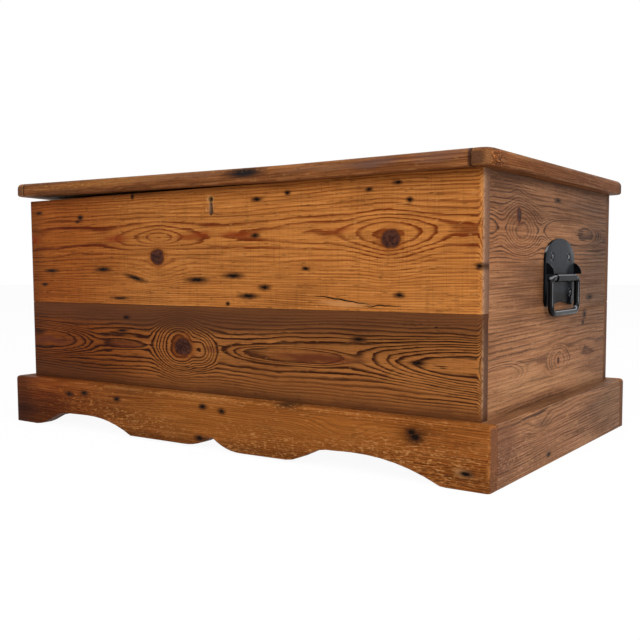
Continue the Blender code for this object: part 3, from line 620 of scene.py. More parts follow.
    def stained_and_shaded(self, bench: Bench, wood: Tint, face: Triple) -> Tint:
        """Lays the stains and the painted shade over the wood, some of them as broken specks."""
        loose = face + bench.drift(face, 22.0, (0.030, 0.014, 0.014))
        for stain in self.stains_and_shade:
            place = face if stain.crisp else loose
            share = stain.reach(place).eased(1.0, 0.2, 0.0, stain.strength)
            if stain.broken:
                specks = bench.streaks(face, stain.broken / 3, stain.broken, 2.0, 0.6)
                share = share * specks.eased(0.50, 0.74)
            wood = wood.mixed(share, stain.colour, stain.way)
        return wood

    def make(self) -> bpy.types.Material:
        """Builds the board's material.

        Returns:
            The material, ready for the board's node.
        """
        bench = Bench(bpy.data.materials.new(self.name))
        face = self.face_point(bench)
        count, nearest, aside = self.ring_count(bench, face)
        depth = aside.eased(0.038, 0.068, self.contrast, self.contrast * self.plain)
        late = self.latewood(bench, count, face) * depth
        fibre = bench.streaks(face, 9.0, 420.0, 3.0, 0.6)
        wood = bench.ramp(late, ((0.0, self.tone.early), (1.0, self.tone.late)))
        wood = self.weathered(bench, wood, face, fibre)
        wood = self.knot_colour(bench, wood, nearest, face)
        wood, ends = self.edges(bench, wood, face)
        wood = self.stained_and_shaded(bench, wood, face)
        if self.inside:
            raw = bench.ramp(late, ((0.0, RAW.early), (1.0, RAW.late)))
            raw = raw.mixed(fibre.eased(0.35, 0.65, 0.35, 0.0), painted(70, 44, 24))
            smudged = bench.noise(face, 6.0, 3.0).eased(0.46, 0.70)
            raw = raw.mixed(smudged * 0.45, painted(104, 76, 50))
            wood = wood.mixed(self.inner_share(bench), raw)
        wood, hole = self.marked(bench, wood, face)
        height = late * 0.30 + fibre * 0.34 - hole * 1.2 - ends * 0.1
        dents = bench.noise(face, 70.0, 2.0)
        rough = fibre.eased(0.2, 0.8, 0.62, 0.44) + ends * 0.15
        return bench.finish(wood, rough, height + dents * 0.5, RELIEF, specular=self.sheen)

    def inner_share(self, bench: Bench) -> Value:
        """Gives 1 on the face that looks into the chest."""
        looking = bench.facing().parts()[self.lie.value[2]] * self.inside
        return looking.eased(0.6, 0.9)

    def edges(self, bench: Bench, wood: Tint, face: Triple) -> tuple[Tint, Value]:
        """Rubs the edges pale and darkens the end grain.

        Args:
            bench: Where the nodes go.
            wood: The colour so far.
            face: The point on the board.

        Returns:
            The colour, and where end grain shows.
        """
        parts = bench.facing().parts()
        along = abs(parts[self.lie.value[0]])
        ends = along.eased(0.80, 0.97)
        speckle = bench.noise(face, 900.0, 2.0)
        end_wood = wood.mixed(0.78, self.tone.end)
        end_wood = end_wood.mixed(speckle.eased(0.52, 0.66) * 0.6, painted(50, 28, 16))
        if self.rim:
            near = abs(face.parts()[2] - self.rim).eased(0.011, 0.004)
            patchy = bench.noise(face, 130.0, 3.0).eased(0.34, 0.58)
            end_wood = end_wood.mixed(near * patchy * 0.6, painted(196, 150, 112))
            far = abs(face.parts()[2] - self.rim).eased(0.010, 0.020)
            end_wood = end_wood.mixed(far * 0.35, painted(74, 52, 48))
        wood = wood.mixed(ends, end_wood)
        strongest = largest(parts)
        rubbed = strongest.eased(0.97, 0.80) * bench.noise(face, 30.0, 3.0).eased(0.42, 0.62)
        return wood.mixed(rubbed * 0.35, self.tone.worn), ends


@dataclass(frozen=True)
class MetalFinish:
    """Old metal: its colour, wear and how smooth it is, with painted highlight and shade where set.
    """

    name: str
    colour: Colour
    worn: Colour
    roughness: float
    metallic: float
    wear: float = 0.35
    specular: float = SOFT_SHINE
    painted_top_highlight: float = 0.0
    rod_highlight: float = 0.0
    relief: float = 0.0010
    dimples: tuple[Span, ...] = ()
    painted_shade_front: bool = False

    def hollows(self, bench: Bench, place: Triple) -> Value | float:
        """Gives how far the metal is pressed in round each screw, from 0 to 1."""
        depth: Value | float = 0.0
        scale = 110.0
        for across, up in self.dimples:
            out = place.fitted((0.0, scale, scale), (0.0, -across * scale, -up * scale)).length()
            depth = out.eased(1.0, 0.45) + depth
        return depth

    def make(self) -> bpy.types.Material:
        """Builds the metal's material.

        Returns:
            The material.
        """
        bench = Bench(bpy.data.materials.new(self.name))
        place = bench.places()
        cloudy = bench.noise(place, 60.0, 3.0)
        fine = bench.noise(place, 700.0, 2.0)
        parts = bench.facing().parts()
        strongest = largest(parts)
        rubbed = strongest.eased(0.98, 0.72) * cloudy.eased(0.45, 0.65) * self.wear
        base = bench.ramp(cloudy, ((0.3, self.colour), (0.8, self.worn)))
        colour = base.mixed(rubbed, self.worn)
        colour = colour.mixed(fine.eased(0.62, 0.72) * 0.3, self.worn)
        # Painted highlight: a pale grey band on faces that turn upward.
        upper = parts[2].eased(0.42, 0.62) * parts[2].eased(0.88, 0.70)
        colour = colour.mixed(upper * self.painted_top_highlight, painted(176, 178, 182))
        # Painted highlight: a pale line on the rods where their faces turn outward and to the
        # front.
        if self.rod_highlight:
            toward = abs(parts[0]) * 0.80 - parts[1] * 0.60
            colour = colour.mixed(toward.eased(0.975, 1.0) * self.rod_highlight, painted(150, 152, 156))
        # Painted reflection and shade on the plate: its flat face is painted mid grey as a
        # reflection, fading towards the bottom, and the screw hollows and the part below 0.262 m
        # are painted black as shade.
        if self.dimples:
            flat = abs(parts[0]).eased(0.90, 0.99)
            dark = self.hollows(bench, place) + place.parts()[2].eased(0.262, 0.250)
            lower = place.parts()[2].eased(0.330, 0.262)
            colour = colour.mixed(flat * 0.85, painted(52, 55, 60)).mixed(lower * 0.45, self.colour)
            colour = colour.mixed(dark * 0.95, self.colour)
        # Painted shade: the case's face that looks out through the keyhole is painted near-black.
        if self.painted_shade_front:
            colour = colour.mixed((parts[1] * -1.0).eased(0.5, 0.9), SHADE_AND_CRACK_BLACK)
        rough = cloudy.eased(0.3, 0.7, self.roughness - 0.08, self.roughness + 0.1)
        height = (cloudy * 0.5 + fine * 0.5) * 0.12 - self.hollows(bench, place)
        return bench.finish(colour, rough, height, self.relief, self.metallic, self.specular)


class Softener:
    """Modifiers that round a solid's edges as years of handling do."""

    def __init__(self) -> None:
        """Makes the node group that welds and smooths a solid."""
        self.group = bpy.data.node_groups.new("soft_edges", "GeometryNodeTree")
        sockets = self.group.interface
        for way in ("INPUT", "OUTPUT"):
            sockets.new_socket("Geometry", in_out=way, socket_type="NodeSocketGeometry")
        bench, shade = Bench(self.group), "GeometryNodeSetShadeSmooth"
        entry = bench.node("NodeGroupInput")
        told = {"Geometry": entry, "Name": "custom_normal"}
        clean = bench.node("GeometryNodeRemoveAttribute", {}, told)
        near = {"Geometry": clean, "Distance": WELD}
        welded = bench.node("GeometryNodeMergeByDistance", {}, near)
        angle = bench.node("GeometryNodeInputMeshEdgeAngle", output="Unsigned Angle")
        less = {"operation": "LESS_THAN"}
        gentle = bench.node("FunctionNodeCompare", less, {0: angle, 1: GENTLE_ANGLE})
        faces = bench.node(shade, {}, {"Geometry": welded})
        edges = bench.node(shade, {"domain": "EDGE"}, {"Geometry": faces, "Shade Smooth": gentle})
        bench.node("NodeGroupOutput", {}, {0: edges})

    def soften(self, piece: bpy.types.Object, width: float = 0.0) -> None:
        """Welds and smooths a piece, and bevels its edges where a width is given.

        Args:
            piece: The piece.
            width: The bevel's width in metres; 0 leaves its edges.
        """
        piece.modifiers.new("soft_edges", "NODES").node_group = self.group
        if not width:
            return
        flat = piece.modifiers.new("flat_faces", "DECIMATE")
        flat.decimate_type = "DISSOLVE"
        flat.angle_limit = FLAT_ANGLE
        worn = piece.modifiers.new("worn_edges", "BEVEL")
        worn.width = width
        worn.segments = 2
        worn.limit_method = "ANGLE"
        worn.angle_limit = GENTLE_ANGLE
        worn.harden_normals = True


def spots(kind: type, *rows: tuple[float, ...], **common: object) -> tuple:
    """Makes spots from rows in millimetres.

    Args:
        kind: The class of spot.
        rows: Along, across, both half sizes, and the strength if not 1.
        common: Fields that all of them share.

    Returns:
        The spots.
    """
    made = []
    for along, across, half_along, half_across, *rest in rows:
        sizes = [value / PER_METRE for value in (along, across, half_along, half_across)]
        made.append(kind(*sizes, *rest, **common))
    return tuple(made)


def patches(colour: Colour, *rows: tuple[float, ...], **common: object) -> tuple[ColourPatch, ...]:
    """Makes patches of one colour, given by its display values."""
    return spots(ColourPatch, *rows, colour=painted(*colour), **common)


def shades(colour: Colour, *rows: tuple[float, ...]) -> tuple[ColourPatch, ...]:
    """Makes patches that darken what is under them by multiplying with one linear colour: painted
    shade towards the left ends and under the lid, and darker patches elsewhere.
    """
    return spots(ColourPatch, *rows, colour=colour, way="MULTIPLY")


class BoardFinishes:
    """The finish of each board, by the name of its CAD node."""

    def front(self) -> dict[str, PineFinish]:
        """Gives the two boards of the front."""
        upper = PineFinish(
            "pine_front_upper", Lie.FRONT, HONEY, heart=(0.35, -0.1682), ring=0.0026,
            lean=(-0.004, 0.0),
            knots=spots(Knot, (-129, 315, 17, 14, 0.9), (338, 336, 17, 14, 0.9)),
            eyes=spots(
                Spot, (-135, 349, 150, 38, -1.7), (-125, 347, 60, 22, -1.6),
                (310, 348, 345, 36, -1.3), (336, 340, 105, 44, -2.6), (-520, 352, 96, 28, -1.9),
            ),
            # Painted shade, multiplied in: darker towards the left end and in a band under the lid.
            stains_and_shade=shades(
                SHADE, (-477, 320, 60, 220, 0.5), (-440, 320, 420, 260, 0.25),
                (0, 428, 1400, 16, 0.38),
            )
            + shades(WARM_SHADE, (-460, 340, 360, 420, 0.75), (0, 440, 1500, 40, 0.3))
            # A crisp painted shadow line right under the lid.
            + spots(ColourPatch, (0, 431, 4000, 6, 1.0), colour=SHADE_AND_CRACK_BLACK, crisp=True)
            + patches(
                (126, 52, 18), (-232, 348, 48, 10, 0.75), (-40, 350, 56, 9, 0.75),
                (54, 350, 56, 9, 0.75), (250, 351, 40, 5, 0.5), (-468, 354, 34, 14, 0.75),
            )
            + patches((196, 146, 90), (-2, 408, 9, 8, 0.5), (-7, 392, 3, 6, 0.5))
            + patches((200, 150, 108), (-2, 394, 8, 17, 0.55), crisp=True)
            # Painted shade inside the keyhole's slot.
            + spots(ColourPatch, (-2, 390, 5.0, 11, 2.2), colour=SHADE_AND_CRACK_BLACK, crisp=True)
            + patches((190, 132, 80), (256, 242, 60, 6, 0.75))
            + (
                ColourPatch(0.25, 0.2475, 0.07, 0.0016, 1.3, slope=-0.085, colour=SHADE_AND_CRACK_BLACK),
                ColourPatch(0.318, 0.2405, 0.046, 0.0016, 1.2, colour=SHADE_AND_CRACK_BLACK),
            ),
            marks=spots(
                Spot, (-414, 293, 20, 3.6), (-436, 267, 10, 3.2), (-267, 295, 21, 4.4),
                (-184, 280, 27, 4.6, 1.0, 0.0, -0.22), (-224, 244, 22, 2.8), (-36, 277, 24, 5),
                (44, 284, 22, 5), (75, 252, 20, 4.4), (108, 266, 12, 4.6), (188, 295, 8, 3),
                (90, 347, 9, 4), (94, 403, 11, 3.6), (155, 410, 6, 3.6), (301, 407, 6, 3.2),
                (349, 414, 8, 3.4), (368, 389, 6, 4), (351, 257, 9, 4), (-327, 390, 8, 5),
                (-335, 383, 7, 3), (-187, 422, 4, 6), (-447, 403, 9, 3.2), (473, 297, 6, 5),
                (32, 239, 4, 4),
            ),
            inside=1.0, rim=-0.274, contrast=1.12, late_start=0.45, uneven=0.6, restless=0.5,
            plain=0.72, sawn=0.16, grime=0.3,
        )
        lower = PineFinish(
            "pine_front_lower", Lie.FRONT, BARN, heart=(0.162, -0.182), ring=0.0026,
            knots=spots(Knot, (-74, 163, 21, 17, 0.9)),
            eyes=spots(
                Spot, (-480, 160, 225, 40, -4.6, 0.45), (-230, 161, 90, 12, -1.0, 0.5),
                (-84, 163, 78, 64, -6.5, 0.15), (-26, 158, 34, 46, -3.4, 0.1),
                (150, 162, 150, 18, -1.8, 0.55), (490, 162, 245, 46, -5.4, 0.25),
            ),
            # Multiplied in: painted shade towards the left end, and darker bands across the board.
            stains_and_shade=shades(
                SHADE, (0, 232, 1600, 50, 0.6), (-120, 204, 380, 26, 0.4),
                (340, 196, 220, 34, 0.35), (-360, 100, 260, 44, 0.5), (60, 92, 360, 30, 0.3),
                (0, 88, 1600, 14, 0.7), (-477, 160, 60, 150, 0.5), (-400, 160, 300, 120, 0.25),
            )
            + shades(WARM_SHADE, (-440, 160, 460, 240, 0.85))
            + patches(
                (92, 44, 24), (205, 161, 120, 11, 0.9), (-425, 160, 100, 10, 0.85),
                (-215, 161, 60, 9, 0.6), (-8, 163, 22, 9, 0.5),
            )
            + patches(
                (88, 52, 32), (0, 230, 1600, 40, 0.62), (0, 92, 1600, 26, 0.4),
                (-60, 206, 500, 22, 0.5),
            )
            + patches((126, 74, 36), (190, 118, 300, 22, 0.55), (-60, 108, 120, 24, 0.4))
            + patches((84, 48, 26), (-360, 108, 200, 22, 0.4))
            + (ColourPatch(0.405, 0.213, 0.065, 0.006, 1.0, slope=-0.1, colour=SHADE_AND_CRACK_BLACK, broken=330.0),),
            marks=spots(
                Spot, (-209, 210, 9, 4), (-220, 186, 16, 3), (283, 192, 14, 4.4), (381, 163, 14, 4),
            ),
            inside=1.0, rim=-0.274, contrast=1.5, late_start=0.36, uneven=0.8, restless=0.7,
            plain=0.3, grime=0.45, seed=1.3,
        )
        return {"front_board_upper": upper, "front_board_lower": lower}

    def right_end(self) -> dict[str, PineFinish]:
        """Gives the two boards of the end with the handle in view."""
        upper = PineFinish(
            "pine_right_upper", Lie.END, DUSTY, heart=(0.352, 0.387), ring=0.003, lean=(0.006, 0.0),
            knots=spots(Knot, (-154, 369, 8, 12, 0.9)),
            eyes=spots(
                Spot, (-142, 350, 92, 52, -6.0, 0.1), (-250, 350, 60, 36, -3.0, 0.1),
                (70, 352, 170, 32, -3.4, 0.6),
            ),
            stains_and_shade=patches(
                (84, 58, 44), (-60, 290, 140, 26, 0.35), (60, 245, 300, 26, 0.35),
                (120, 395, 170, 14, 0.25), (0, 426, 400, 9, 0.5),
            )
            # Multiplied in: painted shade under the lid at the top, and darker patches lower down.
            + shades(
                (0.42, 0.4, 0.42), (200, 420, 300, 70, 0.5), (0, 430, 500, 26, 0.6),
                (-200, 420, 120, 60, 0.35), (90, 280, 200, 40, 0.35), (-100, 275, 220, 34, 0.3),
            )
            + shades(GREY_SHADE, (250, 290, 260, 190, 1.0), (-60, 390, 400, 70, 0.3))
            + shades((0.86, 0.72, 0.56), (-200, 330, 160, 90, 0.5))
            # A crisp painted shadow line right under the lid.
            + spots(ColourPatch, (0, 431, 4000, 6, 1.0), colour=SHADE_AND_CRACK_BLACK, crisp=True),
            marks=spots(Spot, (4, 400, 14, 4), (166, 244, 18, 5), (210, 352, 5, 4)),
            inside=-1.0, sheen=0.07, contrast=1.55, late_start=0.48, restless=0.6, plain=0.45,
            grime=0.6, faded=0.5, seed=2.1,
        )
        lower = PineFinish(
            "pine_right_lower", Lie.END, DUSTY, heart=(0.15, 0.387), ring=0.003, lean=(0.012, 0.0),
            knots=spots(Knot, (16, 145, 5, 5, 0.8)),
            eyes=spots(Spot, (20, 145, 60, 34, -3.6, 0.1), (-220, 140, 120, 26, -2.6, 0.4)),
            stains_and_shade=shades(
                (0.42, 0.38, 0.38), (150, 212, 240, 32, 0.55), (0, 88, 500, 16, 0.7),
                (-100, 222, 260, 12, 0.4),
            )
            + shades(GREY_SHADE, (260, 170, 260, 160, 0.55)),
            marks=spots(Spot, (141, 215, 9, 8), (134, 202, 7, 5)),
            inside=-1.0, sheen=0.07, contrast=1.25, late_start=0.45, restless=0.6, plain=0.5,
            grime=0.6, faded=0.6, seed=3.4,
        )
        return {"right_end_board_upper": upper, "right_end_board_lower": lower}

    def left_and_back(self) -> dict[str, PineFinish]:
        """Gives the boards that the photograph doesn't show."""
        left_upper = PineFinish(
            "pine_left_upper", Lie.END, DUSTY, heart=(0.31, -0.43), ring=0.004, lean=(0.02, 0.008),
            knots=spots(Knot, (120, 350, 12, 10, 0.9)),
            eyes=spots(Spot, (120, 350, 110, 44, -4.0), (-160, 300, 120, 30, -3.0)),
            stains_and_shade=spots(ColourPatch, (0, 426, 400, 10, 0.5), (-60, 250, 240, 20, 0.3)),
            marks=spots(Spot, (-60, 404, 12, 4), (200, 290, 9, 4), (-220, 330, 8, 4)),
            inside=1.0, contrast=0.8, seed=5.2,
        )
        left_lower = PineFinish(
            "pine_left_lower", Lie.END, BARN, heart=(0.165, -0.42), ring=0.0045, lean=(-0.01, 0.0),
            eyes=spots(Spot, (-60, 160, 190, 30, -4.0)),
            stains_and_shade=spots(ColourPatch, (0, 92, 400, 10, 0.4), (60, 215, 260, 20, 0.4)),
            marks=spots(Spot, (90, 140, 10, 4), (-180, 190, 9, 4)),
            inside=1.0, seed=6.1,
        )
        back_upper = PineFinish(
            "pine_back_upper", Lie.FRONT, BARN, heart=(0.33, 0.22), ring=0.004, lean=(-0.012, 0.0),
            knots=spots(Knot, (200, 360, 14, 12, 0.9), (-260, 300, 11, 10, 0.9)),
            eyes=spots(Spot, (200, 350, 130, 40, -4.0), (-260, 300, 130, 40, -4.0)),
            stains_and_shade=spots(ColourPatch, (0, 420, 900, 20, 0.5)),
            marks=spots(Spot, (-100, 270, 14, 4), (330, 290, 10, 4), (60, 400, 9, 4)),
            inside=-1.0, seed=7.3,
        )
        back_lower = PineFinish(
            "pine_back_lower", Lie.FRONT, BARN, heart=(0.15, 0.215), ring=0.0046, lean=(0.008, 0.0),
            knots=spots(Knot, (-60, 150, 12, 12, 0.9)),
            eyes=spots(Spot, (-60, 150, 120, 44, -4.0), (300, 160, 180, 26, -4.0)),
            stains_and_shade=spots(ColourPatch, (0, 95, 900, 20, 0.5)),
            marks=spots(Spot, (180, 200, 14, 4), (-330, 120, 10, 4)),
            inside=-1.0, seed=8.2,
        )
        return {
            "left_end_board_upper": left_upper,
            "left_end_board_lower": left_lower,
            "back_board_upper": back_upper,
            "back_board_lower": back_lower,
        }

    def plinth(self) -> dict[str, PineFinish]:
        """Gives the four boards of the plinth."""
        front = PineFinish(
            "pine_plinth_front", Lie.FRONT, PLINTH, heart=(0.15, -0.262), ring=0.003,
            lean=(0.012, 0.0),
            knots=spots(Knot, (-2, 16, 7, 6, 0.7)),
            eyes=spots(
                Spot, (275, 46, 120, 40, -6.0), (165, 92, 60, 16, -3.0), (-200, 60, 160, 24, -2.0),
            ),
            # Multiplied in: painted shade towards the left end, and darker patches along the
            # bottom.
            stains_and_shade=shades(
                SHADE, (-500, 50, 80, 120, 0.75), (-420, 20, 240, 60, 0.55),
                (-100, 8, 500, 14, 0.5), (391, 66, 34, 22, 0.75), (250, 14, 200, 12, 0.3),
            )
            + patches((48, 26, 16), (165, 91, 36, 11, 1.0), crisp=True)
            + patches((168, 106, 46), (30, 50, 330, 60, 0.35), (280, 60, 160, 40, 0.35))
            + patches((196, 146, 96), (468, 23, 17, 9, 0.8))
            + patches(
                (206, 150, 92), (380, 30, 220, 50, 0.8), (120, 20, 200, 44, 0.7),
                (-160, 30, 160, 40, 0.7), (120, 86, 600, 9, 0.6), (-300, 50, 140, 40, 0.5),
                broken=420.0,
            )
            + patches(
                (92, 46, 22), (60, 10, 200, 16, 0.7), (-420, 60, 120, 30, 0.5),
                (300, 40, 90, 30, 0.4), broken=90.0,
            )
            # Multiplied in: painted shade towards the left end, and a slight warm darkening all
            # over.
            + shades(WARM_SHADE, (-460, 50, 300, 120, 0.8), (0, 50, 1200, 200, 0.25))
            + spots(ColourPatch, (440, 12, 110, 22, 0.8), (-440, 20, 70, 30, 0.6), broken=330.0),
            marks=spots(
                Spot, (-340, 65, 11, 5), (-298, 70, 11, 5), (-211, 66, 9, 5), (-4, 71, 9, 5),
                (37, 67, 8, 5), (391, 64, 12, 8), (386, 70, 9, 6), (468, 23, 11, 5),
                (-12, 18, 12, 6),
            ),
            contrast=1.25, late_start=0.5, grime=0.75, faded=0.6, scuffs=0.45, seed=9.4,
        )
        right = PineFinish(
            "pine_plinth_right", Lie.END, DUSTY, heart=(0.13, 0.45), ring=0.0036, lean=(0.01, 0.0),
            eyes=spots(Spot, (-119, 60, 80, 30, -3.0)),
            stains_and_shade=spots(
                ColourPatch, (-110, 67, 50, 12, 0.45), (0, 90, 400, 6, 0.4), (160, 60, 120, 16, 0.3),
            )
            + patches((96, 52, 34), (-250, 50, 60, 80, 0.5))
            + shades(GREY_SHADE, (270, 50, 300, 110, 0.6), (0, 50, 600, 120, 0.18))
            + patches(
                (184, 138, 104), (-220, 30, 120, 50, 0.6), (100, 8, 400, 12, 0.5), broken=330.0,
            ),
            marks=spots(Spot, (-87, 15, 9, 4)),
            contrast=1.15, late_start=0.45, grime=0.8, faded=0.5, scuffs=0.45, sheen=0.07,
            seed=10.3,
        )
        left = PineFinish(
            "pine_plinth_left", Lie.END, PLINTH, heart=(0.12, -0.445), ring=0.0036,
            stains_and_shade=spots(ColourPatch, (60, 60, 120, 20, 0.3)),
            marks=spots(Spot, (-140, 50, 9, 4), (160, 60, 9, 4)),
            contrast=0.7, seed=11.1,
        )
        back = PineFinish(
            "pine_plinth_back", Lie.FRONT, BARN, heart=(0.12, 0.26), ring=0.0036,
            marks=spots(Spot, (-300, 50, 9, 4), (280, 60, 9, 4)),
            contrast=0.8, seed=12.6,
        )
        return {
            "plinth_front": front,
            "plinth_right": right,
            "plinth_left": left,
            "plinth_back": back,
        }

    def lid(self) -> dict[str, PineFinish]:
        """Gives the lid's three strips and three boards."""
        front = PineFinish(
            "pine_lid_front", Lie.FRONT, LID_RED, heart=(0.47, -0.262), ring=0.003,
            lean=(0.004, 0.0),
            stains_and_shade=spots(
                ColourPatch, (-360, 440, 120, 9, 0.35), (300, 442, 60, 8, 0.3), (490, 440, 26, 30, 0.4),
            )
            + patches(
                (56, 32, 22), (468, 447, 6.0, 90, 0.95), (-468, 447, 6.0, 90, 0.95), crisp=True,
            )
            + shades(SHADE, (0, 456, 1400, 6, 0.4), (0, 436, 1400, 5, 0.35))
            + patches((116, 88, 70), (-60, 446, 200, 8, 0.35), (240, 440, 120, 8, 0.3))
            + patches((164, 108, 52), (-230, 448, 260, 10, 0.35))
            + patches((92, 70, 66), (322, 442, 62, 9, 0.55), (420, 444, 60, 12, 0.4))
            + patches((32, 26, 26), (86, 443, 58, 12, 1.0), crisp=True)
            + patches(
                (186, 126, 70), (-300, 448, 200, 8, 0.6), (120, 448, 200, 8, 0.6), broken=330.0,
            ),
            contrast=0.6, grime=0.55, faded=0.3, seed=13.2,
        )
        side = {"ring": 0.0032, "contrast": 0.7, "grime": 0.5}
        right = PineFinish(
            "pine_lid_right", Lie.TOP_SIDE, LID_RED, heart=(0.5, 0.48),
            stains_and_shade=spots(ColourPatch, (0, 494, 300, 12, 0.3), (290, 494, 60, 90, 0.8))
            + shades((0.46, 0.42, 0.42), (-300, 490, 70, 120, 0.55))
            + patches((188, 112, 62), (-276, 502, 36, 17, 1.5), broken=420.0)
            + patches((44, 18, 12), (-272, 502, 40, 17, 2.8), broken=600.0),
            seed=14.5, **side,
        )
        left = PineFinish(
            "pine_lid_left", Lie.TOP_SIDE, LID_RED, heart=(-0.5, 0.48), seed=15.5, **side,
        )
        made = {"lid_strip_front": front, "lid_strip_right": right, "lid_strip_left": left}
        rows = ((1, 0.10, -0.20, 1.0), (2, -0.06, 0.02, 2.6), (3, 0.08, 0.20, 4.1))
        for number, lean, middle, seed in rows:
            line, beside = middle * PER_METRE, 180 * lean / abs(lean)
            made[f"lid_board_{number}"] = PineFinish(
                f"pine_lid_board_{number}", Lie.TOP, BARN if number == 2 else LID_RED,
                heart=(middle, 0.4), ring=0.0042, lean=(lean * 0.2, 0.01),
                knots=spots(Knot, (beside, line + 20, 13, 13, 0.9)),
                eyes=spots(Spot, (beside, line + 10, 150, 44, -4.0)),
                stains_and_shade=spots(ColourPatch, (-200, line, 220, 60, 0.3)),
                marks=spots(Spot, (-250, line - 40, 14, 4), (380, line, 10, 4)),
                inside=-1.0, grime=0.45, seed=seed,
            )
        return made

    def hidden(self) -> dict[str, PineFinish]:
        """Gives the bottom boards and the plinth's corner blocks."""
        made = {}
        for number, middle in ((1, -0.17), (2, 0.0), (3, 0.17)):
            line, beside = middle * PER_METRE, 140 - 160 * number
            made[f"bottom_board_{number}"] = PineFinish(
                f"pine_bottom_{number}", Lie.TOP, RAW, heart=(middle, 0.01), ring=0.005,
                lean=(0.02 * number - 0.04, 0.012),
                knots=spots(Knot, (beside, line + 30, 12, 11, 0.9)),
                eyes=spots(Spot, (beside, line + 20, 120, 40, -3.0)),
                stains_and_shade=spots(ColourPatch, (120, line, 160, 50, 0.25)),
                grime=0.4, seed=20.0 + number,
            )
        block = PineFinish("pine_corner_block", Lie.UPRIGHT, RAW, heart=(0.44, 0.2), ring=0.004)
        for place in ("front_left", "front_right", "back_left", "back_right"):
            made[f"corner_block_{place}"] = block
        return made

    def every(self) -> dict[str, PineFinish]:
        """Gives the finish of every wooden node."""
        made = self.front() | self.right_end() | self.left_and_back()
        return made | self.plinth() | self.lid() | self.hidden()


# Black japan for the handle's parts other than the plate, with painted highlights on them.
JAPAN = MetalFinish(
    "black_japan", painted(8, 8, 10), painted(20, 20, 22), 0.17, 0.0, specular=0.1, painted_top_highlight=0.5,
    rod_highlight=0.35,
)
# The plate's black japan, with painted reflection and shade on it.
JAPAN_PLATE = MetalFinish(
    "black_japan_plate", painted(8, 8, 10), painted(22, 22, 24), 0.2, 0.0, specular=0.02, painted_top_highlight=0.5,
    dimples=((-0.0255, 0.312), (0.0475, 0.312), (-0.035, 0.255), (0.057, 0.255)),
)
# The handle screws' heads are painted mid grey: a painted highlight on black screws.
SCREW = MetalFinish(
    "black_screw_painted_highlight", painted(62, 64, 68), painted(130, 132, 136), 0.25, 0.3, specular=0.2,
)
STEEL = MetalFinish("old_steel", painted(78, 72, 64), painted(120, 108, 92), 0.42, 0.9)
# The lock case, with painted shade on the face seen through the keyhole.
LOCK_STEEL = MetalFinish(
    "lock_steel", painted(78, 72, 64), painted(120, 108, 92), 0.42, 0.9, painted_shade_front=True,
)
BRASS = MetalFinish("old_brass", painted(142, 104, 52), painted(186, 146, 82), 0.36, 0.95)
BRONZE = MetalFinish("dull_brass", painted(128, 86, 40), painted(176, 132, 78), 0.45, 0.4)


@dataclass
class Woodwork:
    """All the boards: their finish and their softened edges."""

    frame: dict
    softener: Softener
    edge: float = 0.0012

    def dress(self) -> int:
        """Dresses each board with its own material and counts them."""
        made, finishes = {}, BoardFinishes().every()
        for node, finish in finishes.items():
            if finish.name not in made:
                made[finish.name] = finish.make()
            piece = self.frame["nodes"][node]
            give_material(piece, made[finish.name])
            self.softener.soften(piece, self.edge)
        return len(finishes)


def give_material(piece: bpy.types.Object, material: bpy.types.Material) -> None:
    """Puts one material in every slot of a piece."""
    for slot in piece.material_slots:
        slot.material = material


@dataclass
class Metalwork:
    """The hinges, lock and handles, with finishes by node name."""

    frame: dict
    softener: Softener

    def finish_of(self, node: str) -> MetalFinish | None:
        """Picks the finish of a metal node, or None for a wooden one."""
        if node.startswith("handle"):
            return JAPAN_PLATE if node.endswith("plate") else JAPAN
        if node.startswith("hinge"):
            return STEEL if "pin" in node else BRASS
        if node.startswith("lock"):
            return LOCK_STEEL if node == "lock_case" else STEEL
        return BRASS if node == "lid_link_plate" else None

    def dress(self) -> int:
        """Dresses each metal node and counts them."""
        made, count = {}, 0
        for node, piece in self.frame["nodes"].items():
            finish = self.finish_of(node)
            if finish is None:
                continue
            if finish.name not in made:
                made[finish.name] = finish.make()
            give_material(piece, made[finish.name])
            self.softener.soften(piece)
            count += 1
        return count


def placed(name: str, data: bpy.types.ID) -> bpy.types.Object:
    """Stands an object with that data in the scene."""
    piece = bpy.data.objects.new(name, data)
    bpy.context.scene.collection.objects.link(piece)
    return piece


def circle(steps: int) -> list[Span]:
    """Gives the corners of a unit circle."""
    angles = [step / steps * math.tau for step in range(steps)]
    return [(math.cos(angle), math.sin(angle)) for angle in angles]


def skin(work: bmesh.types.BMesh, rings: list[list]) -> None:
    """Joins a run of rings with faces."""
    steps = len(rings[0])
    for first, second in zip(rings, rings[1:]):
        for step in range(steps):
            after = (step + 1) % steps
            work.faces.new((first[step], first[after], second[after], second[step]))


def emptied(work: bmesh.types.BMesh, name: str) -> bpy.types.Mesh:
    """Turns mesh work into a mesh and frees the work."""
    data = bpy.data.meshes.new(name)
    work.to_mesh(data)
    work.free()
    return data


class ScrewKind(Enum):
    """The families of screws: the way their heads look, their material and dome."""

    HANDLE_LEFT = ("handle_left_screw", (-1.0, 0.0, 0.0), "black_screw_painted_highlight", 0.0009)
    HANDLE_RIGHT = ("handle_right_screw", (1.0, 0.0, 0.0), "black_screw_painted_highlight", 0.0009)
    HINGE_BODY = ("hinge_body_screw", (0.0, 0.0, 1.0), "old_steel", 0.0)
    HINGE_LID = ("hinge_lid_screw", (0.0, 0.0, -1.0), "old_steel", 0.0)
    LOCK = ("lock_screw", (0.0, 1.0, 0.0), "old_steel", 0.0)

    def __init__(self, family: str, outward: Colour, material: str, dome: float) -> None:
        """Keeps what the family's screws share."""
        self.family, self.material, self.dome = family, material, dome
        self.outward = Vector(outward)


